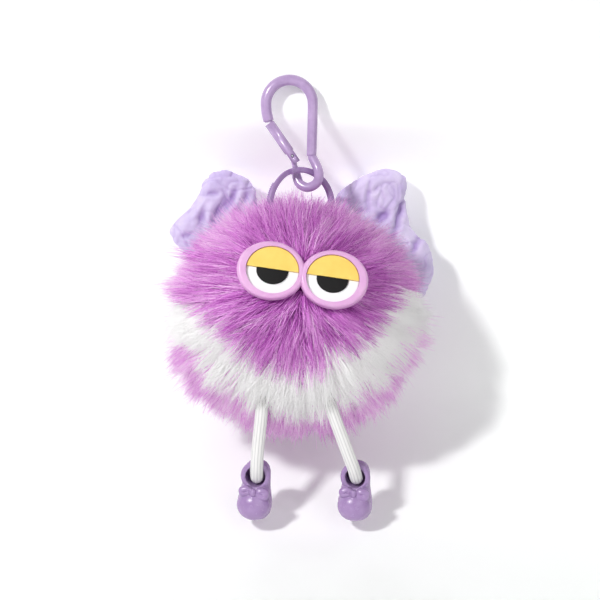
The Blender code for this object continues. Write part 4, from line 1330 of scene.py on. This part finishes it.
def make_backing():
    """The knitted backing under the pile, stuffed tight."""
    bm = bmesh.new()
    bmesh.ops.create_uvsphere(bm, u_segments=96, v_segments=64, radius=1)
    for v in bm.verts:
        ripple = 1 + 0.02 * noise.noise(v.co * 5)
        v.co = Vector(c * h * 1.02 * ripple + m for c, h, m in zip(v.co, SKIN, BALL))
    mesh = mesh_from("plush_backing", bm)
    backing = to_scene("plush_backing", mesh)
    # Painted shade: the backing is real cloth, but its deep purple, and its pale grey under the white band,
    # is painted shade down among the roots of the pile.
    knit = Finish("knit_backing", srgb(150, 62, 156), 0.95)
    knit.colour_from(knit.ramp(knit.speckle(700, 3), (0.3, srgb(136, 50, 146)), (0.7, srgb(166, 78, 176))))
    knit.relief(knit.speckle(1500, 3), 0.0003, 0.5)
    pale = Finish("pale_knit_backing", srgb(205, 195, 205), 0.95)
    pale.relief(pale.speckle(1500, 3), 0.0003, 0.5)
    coat(backing, knit.material, pale.material)
    for face in mesh.polygons:
        x, y, z = face.center
        reach = BALL + (np.array((x, y, z)) - BALL) * 1.42
        top, bottom = float(edge_height(UPPER_EDGE, reach[0])), float(edge_height(LOWER_EDGE, reach[0]))
        if y < SEAM_Y and bottom < reach[2] - 4 * MM < top:
            face.material_index = 1
    smooth(backing, 180)
    belongs(backing, "ball", "orchid_fur")


make_backing()
make_pile()
refined("stuffing_core", "filling", STUFFING, "ball", "white_stuffing", 180)

# ---------------------------------------------------------------- studio


SWEEP_LINE = (  # y and z down the middle of the paper
    (0.004, 0.18), (0.005, 0.10), (0.0052, 0.02), (0.0058, -0.004), (0.009, -0.014), (0.021, -0.024),
    (0.0345, -0.036), (0.0405, -0.048), (0.044, -0.062), (0.046, -0.085), (0.046, -0.110),
    (0.045, -0.134), (0.035, -0.150), (0.019, -0.164), (0.003, -0.177), (-0.016, -0.190),
    (-0.048, -0.201), (-0.110, -0.207), (-0.300, -0.209),
)
SWEEP_SIDES = (-0.5, -0.2, 0.2, 0.5)
PAPER_GLOW = ((0, 0.06), (0.35, 0.25), (0.75, 0.25), (1, 0.06))  # share of the glowing height, strength
GLOW_BOTTOM, GLOW_TOP = -0.062, 0.004


def paper_look():
    """Matt paper that glows a little behind the hook and is clear from behind."""
    f = Finish(
        "studio_paper", (0.90, 0.92, 0.905), 1.0, Specular_IOR_Level=0.0, Emission_Color=(1, 0.99, 1, 1)
    )
    height = f.node("ShaderNodeSeparateXYZ")
    f.links.new(f.own_place(), height.inputs["Vector"])
    band = f.node("ShaderNodeMapRange")
    band.inputs["From Min"].default_value, band.inputs["From Max"].default_value = GLOW_BOTTOM, GLOW_TOP
    f.links.new(height.outputs["Z"], band.inputs["Value"])
    glow = f.ramp(band.outputs["Result"], *((share, (level,) * 3) for share, level in PAPER_GLOW))
    f.links.new(glow, f.shader.inputs["Emission Strength"])
    mix = f.node("ShaderNodeMixShader")
    f.links.new(f.node("ShaderNodeNewGeometry").outputs["Backfacing"], mix.inputs["Fac"])
    f.links.new(f.shader.outputs[0], mix.inputs[1])
    f.links.new(f.node("ShaderNodeBsdfTransparent").outputs[0], mix.inputs[2])
    f.links.new(mix.outputs[0], f.nodes["Material Output"].inputs["Surface"])
    return f.material


def make_sweep():
    """A pale sweep: a wall close behind the charm that runs down into a floor below it."""
    line = smooth_route([(0, y, z) for y, z in SWEEP_LINE], 0.006)
    verts = [(x, y, z) for x in SWEEP_SIDES for _, y, z in line]
    faces = []
    count = len(line)
    for s in range(len(SWEEP_SIDES) - 1):
        for i in range(count - 1):
            a, b = s * count + i, (s + 1) * count + i
            faces.append((a, b, b + 1, a + 1))
    mesh = bpy.data.meshes.new("paper_sweep")
    mesh.from_pydata(verts, [], faces)
    mesh.update()
    if any(face.normal.y > 0 or face.normal.z < -0.5 for face in mesh.polygons):
        mesh.flip_normals()
    sweep = coat(to_scene("paper_sweep", mesh), paper_look())
    mesh.shade_smooth()
    sweep.visible_shadow = False
    return sweep


def make_room():
    """A white surround that only the camera sees."""
    bm = bmesh.new()
    bmesh.ops.create_uvsphere(bm, u_segments=48, v_segments=32, radius=6)
    bmesh.ops.reverse_faces(bm, faces=bm.faces)
    wall = Finish("white_room", (0, 0, 0), 0.5, Emission_Color=(1, 1, 1, 1), Emission_Strength=1.0)
    room = coat(to_scene("white_room", mesh_from("white_room", bm)), wall.material)
    room.visible_diffuse = room.visible_glossy = room.visible_transmission = room.visible_shadow = False
    return room


LAMPS = (  # name, direction, distance, size in metres, power in watts
    ("key", (-0.62, -1.0, 0.52), 1.4, 0.16, 12.8),
    ("fill", (0.5, -1.0, 0.2), 1.2, 0.9, 2.3),
    ("rear", (-0.2, 1.0, 0.5), 1.2, 0.6, 4),
)
AIR_LIGHT = 0.35


def lamp(name, place, target, size, power):
    data = bpy.data.lights.new(name, "AREA")
    data.shape = "DISK"
    data.size = size
    data.energy = power
    obj = bpy.data.objects.new(name, data)
    obj.location = place
    obj.rotation_euler = (Vector(target) - Vector(place)).to_track_quat("-Z", "Y").to_euler()
    bpy.context.scene.collection.objects.link(obj)


def make_lights():
    middle = Vector((0.004, 0, -0.09))
    for name, way, distance, size, power in LAMPS:
        lamp(name, middle + Vector(way).normalized() * distance, middle, size, power)
    world = bpy.data.worlds.new("studio_air")
    bpy.context.scene.world = world
    world.use_nodes = True
    air = world.node_tree.nodes["Background"]
    air.inputs["Color"].default_value = (1, 1, 1, 1)
    air.inputs["Strength"].default_value = AIR_LIGHT
    view = bpy.context.scene.view_settings
    view.view_transform = "Standard"
    view.look = "None"
    view.exposure = 0
    view.gamma = 1


sweep, room = make_sweep(), make_room()
make_lights()
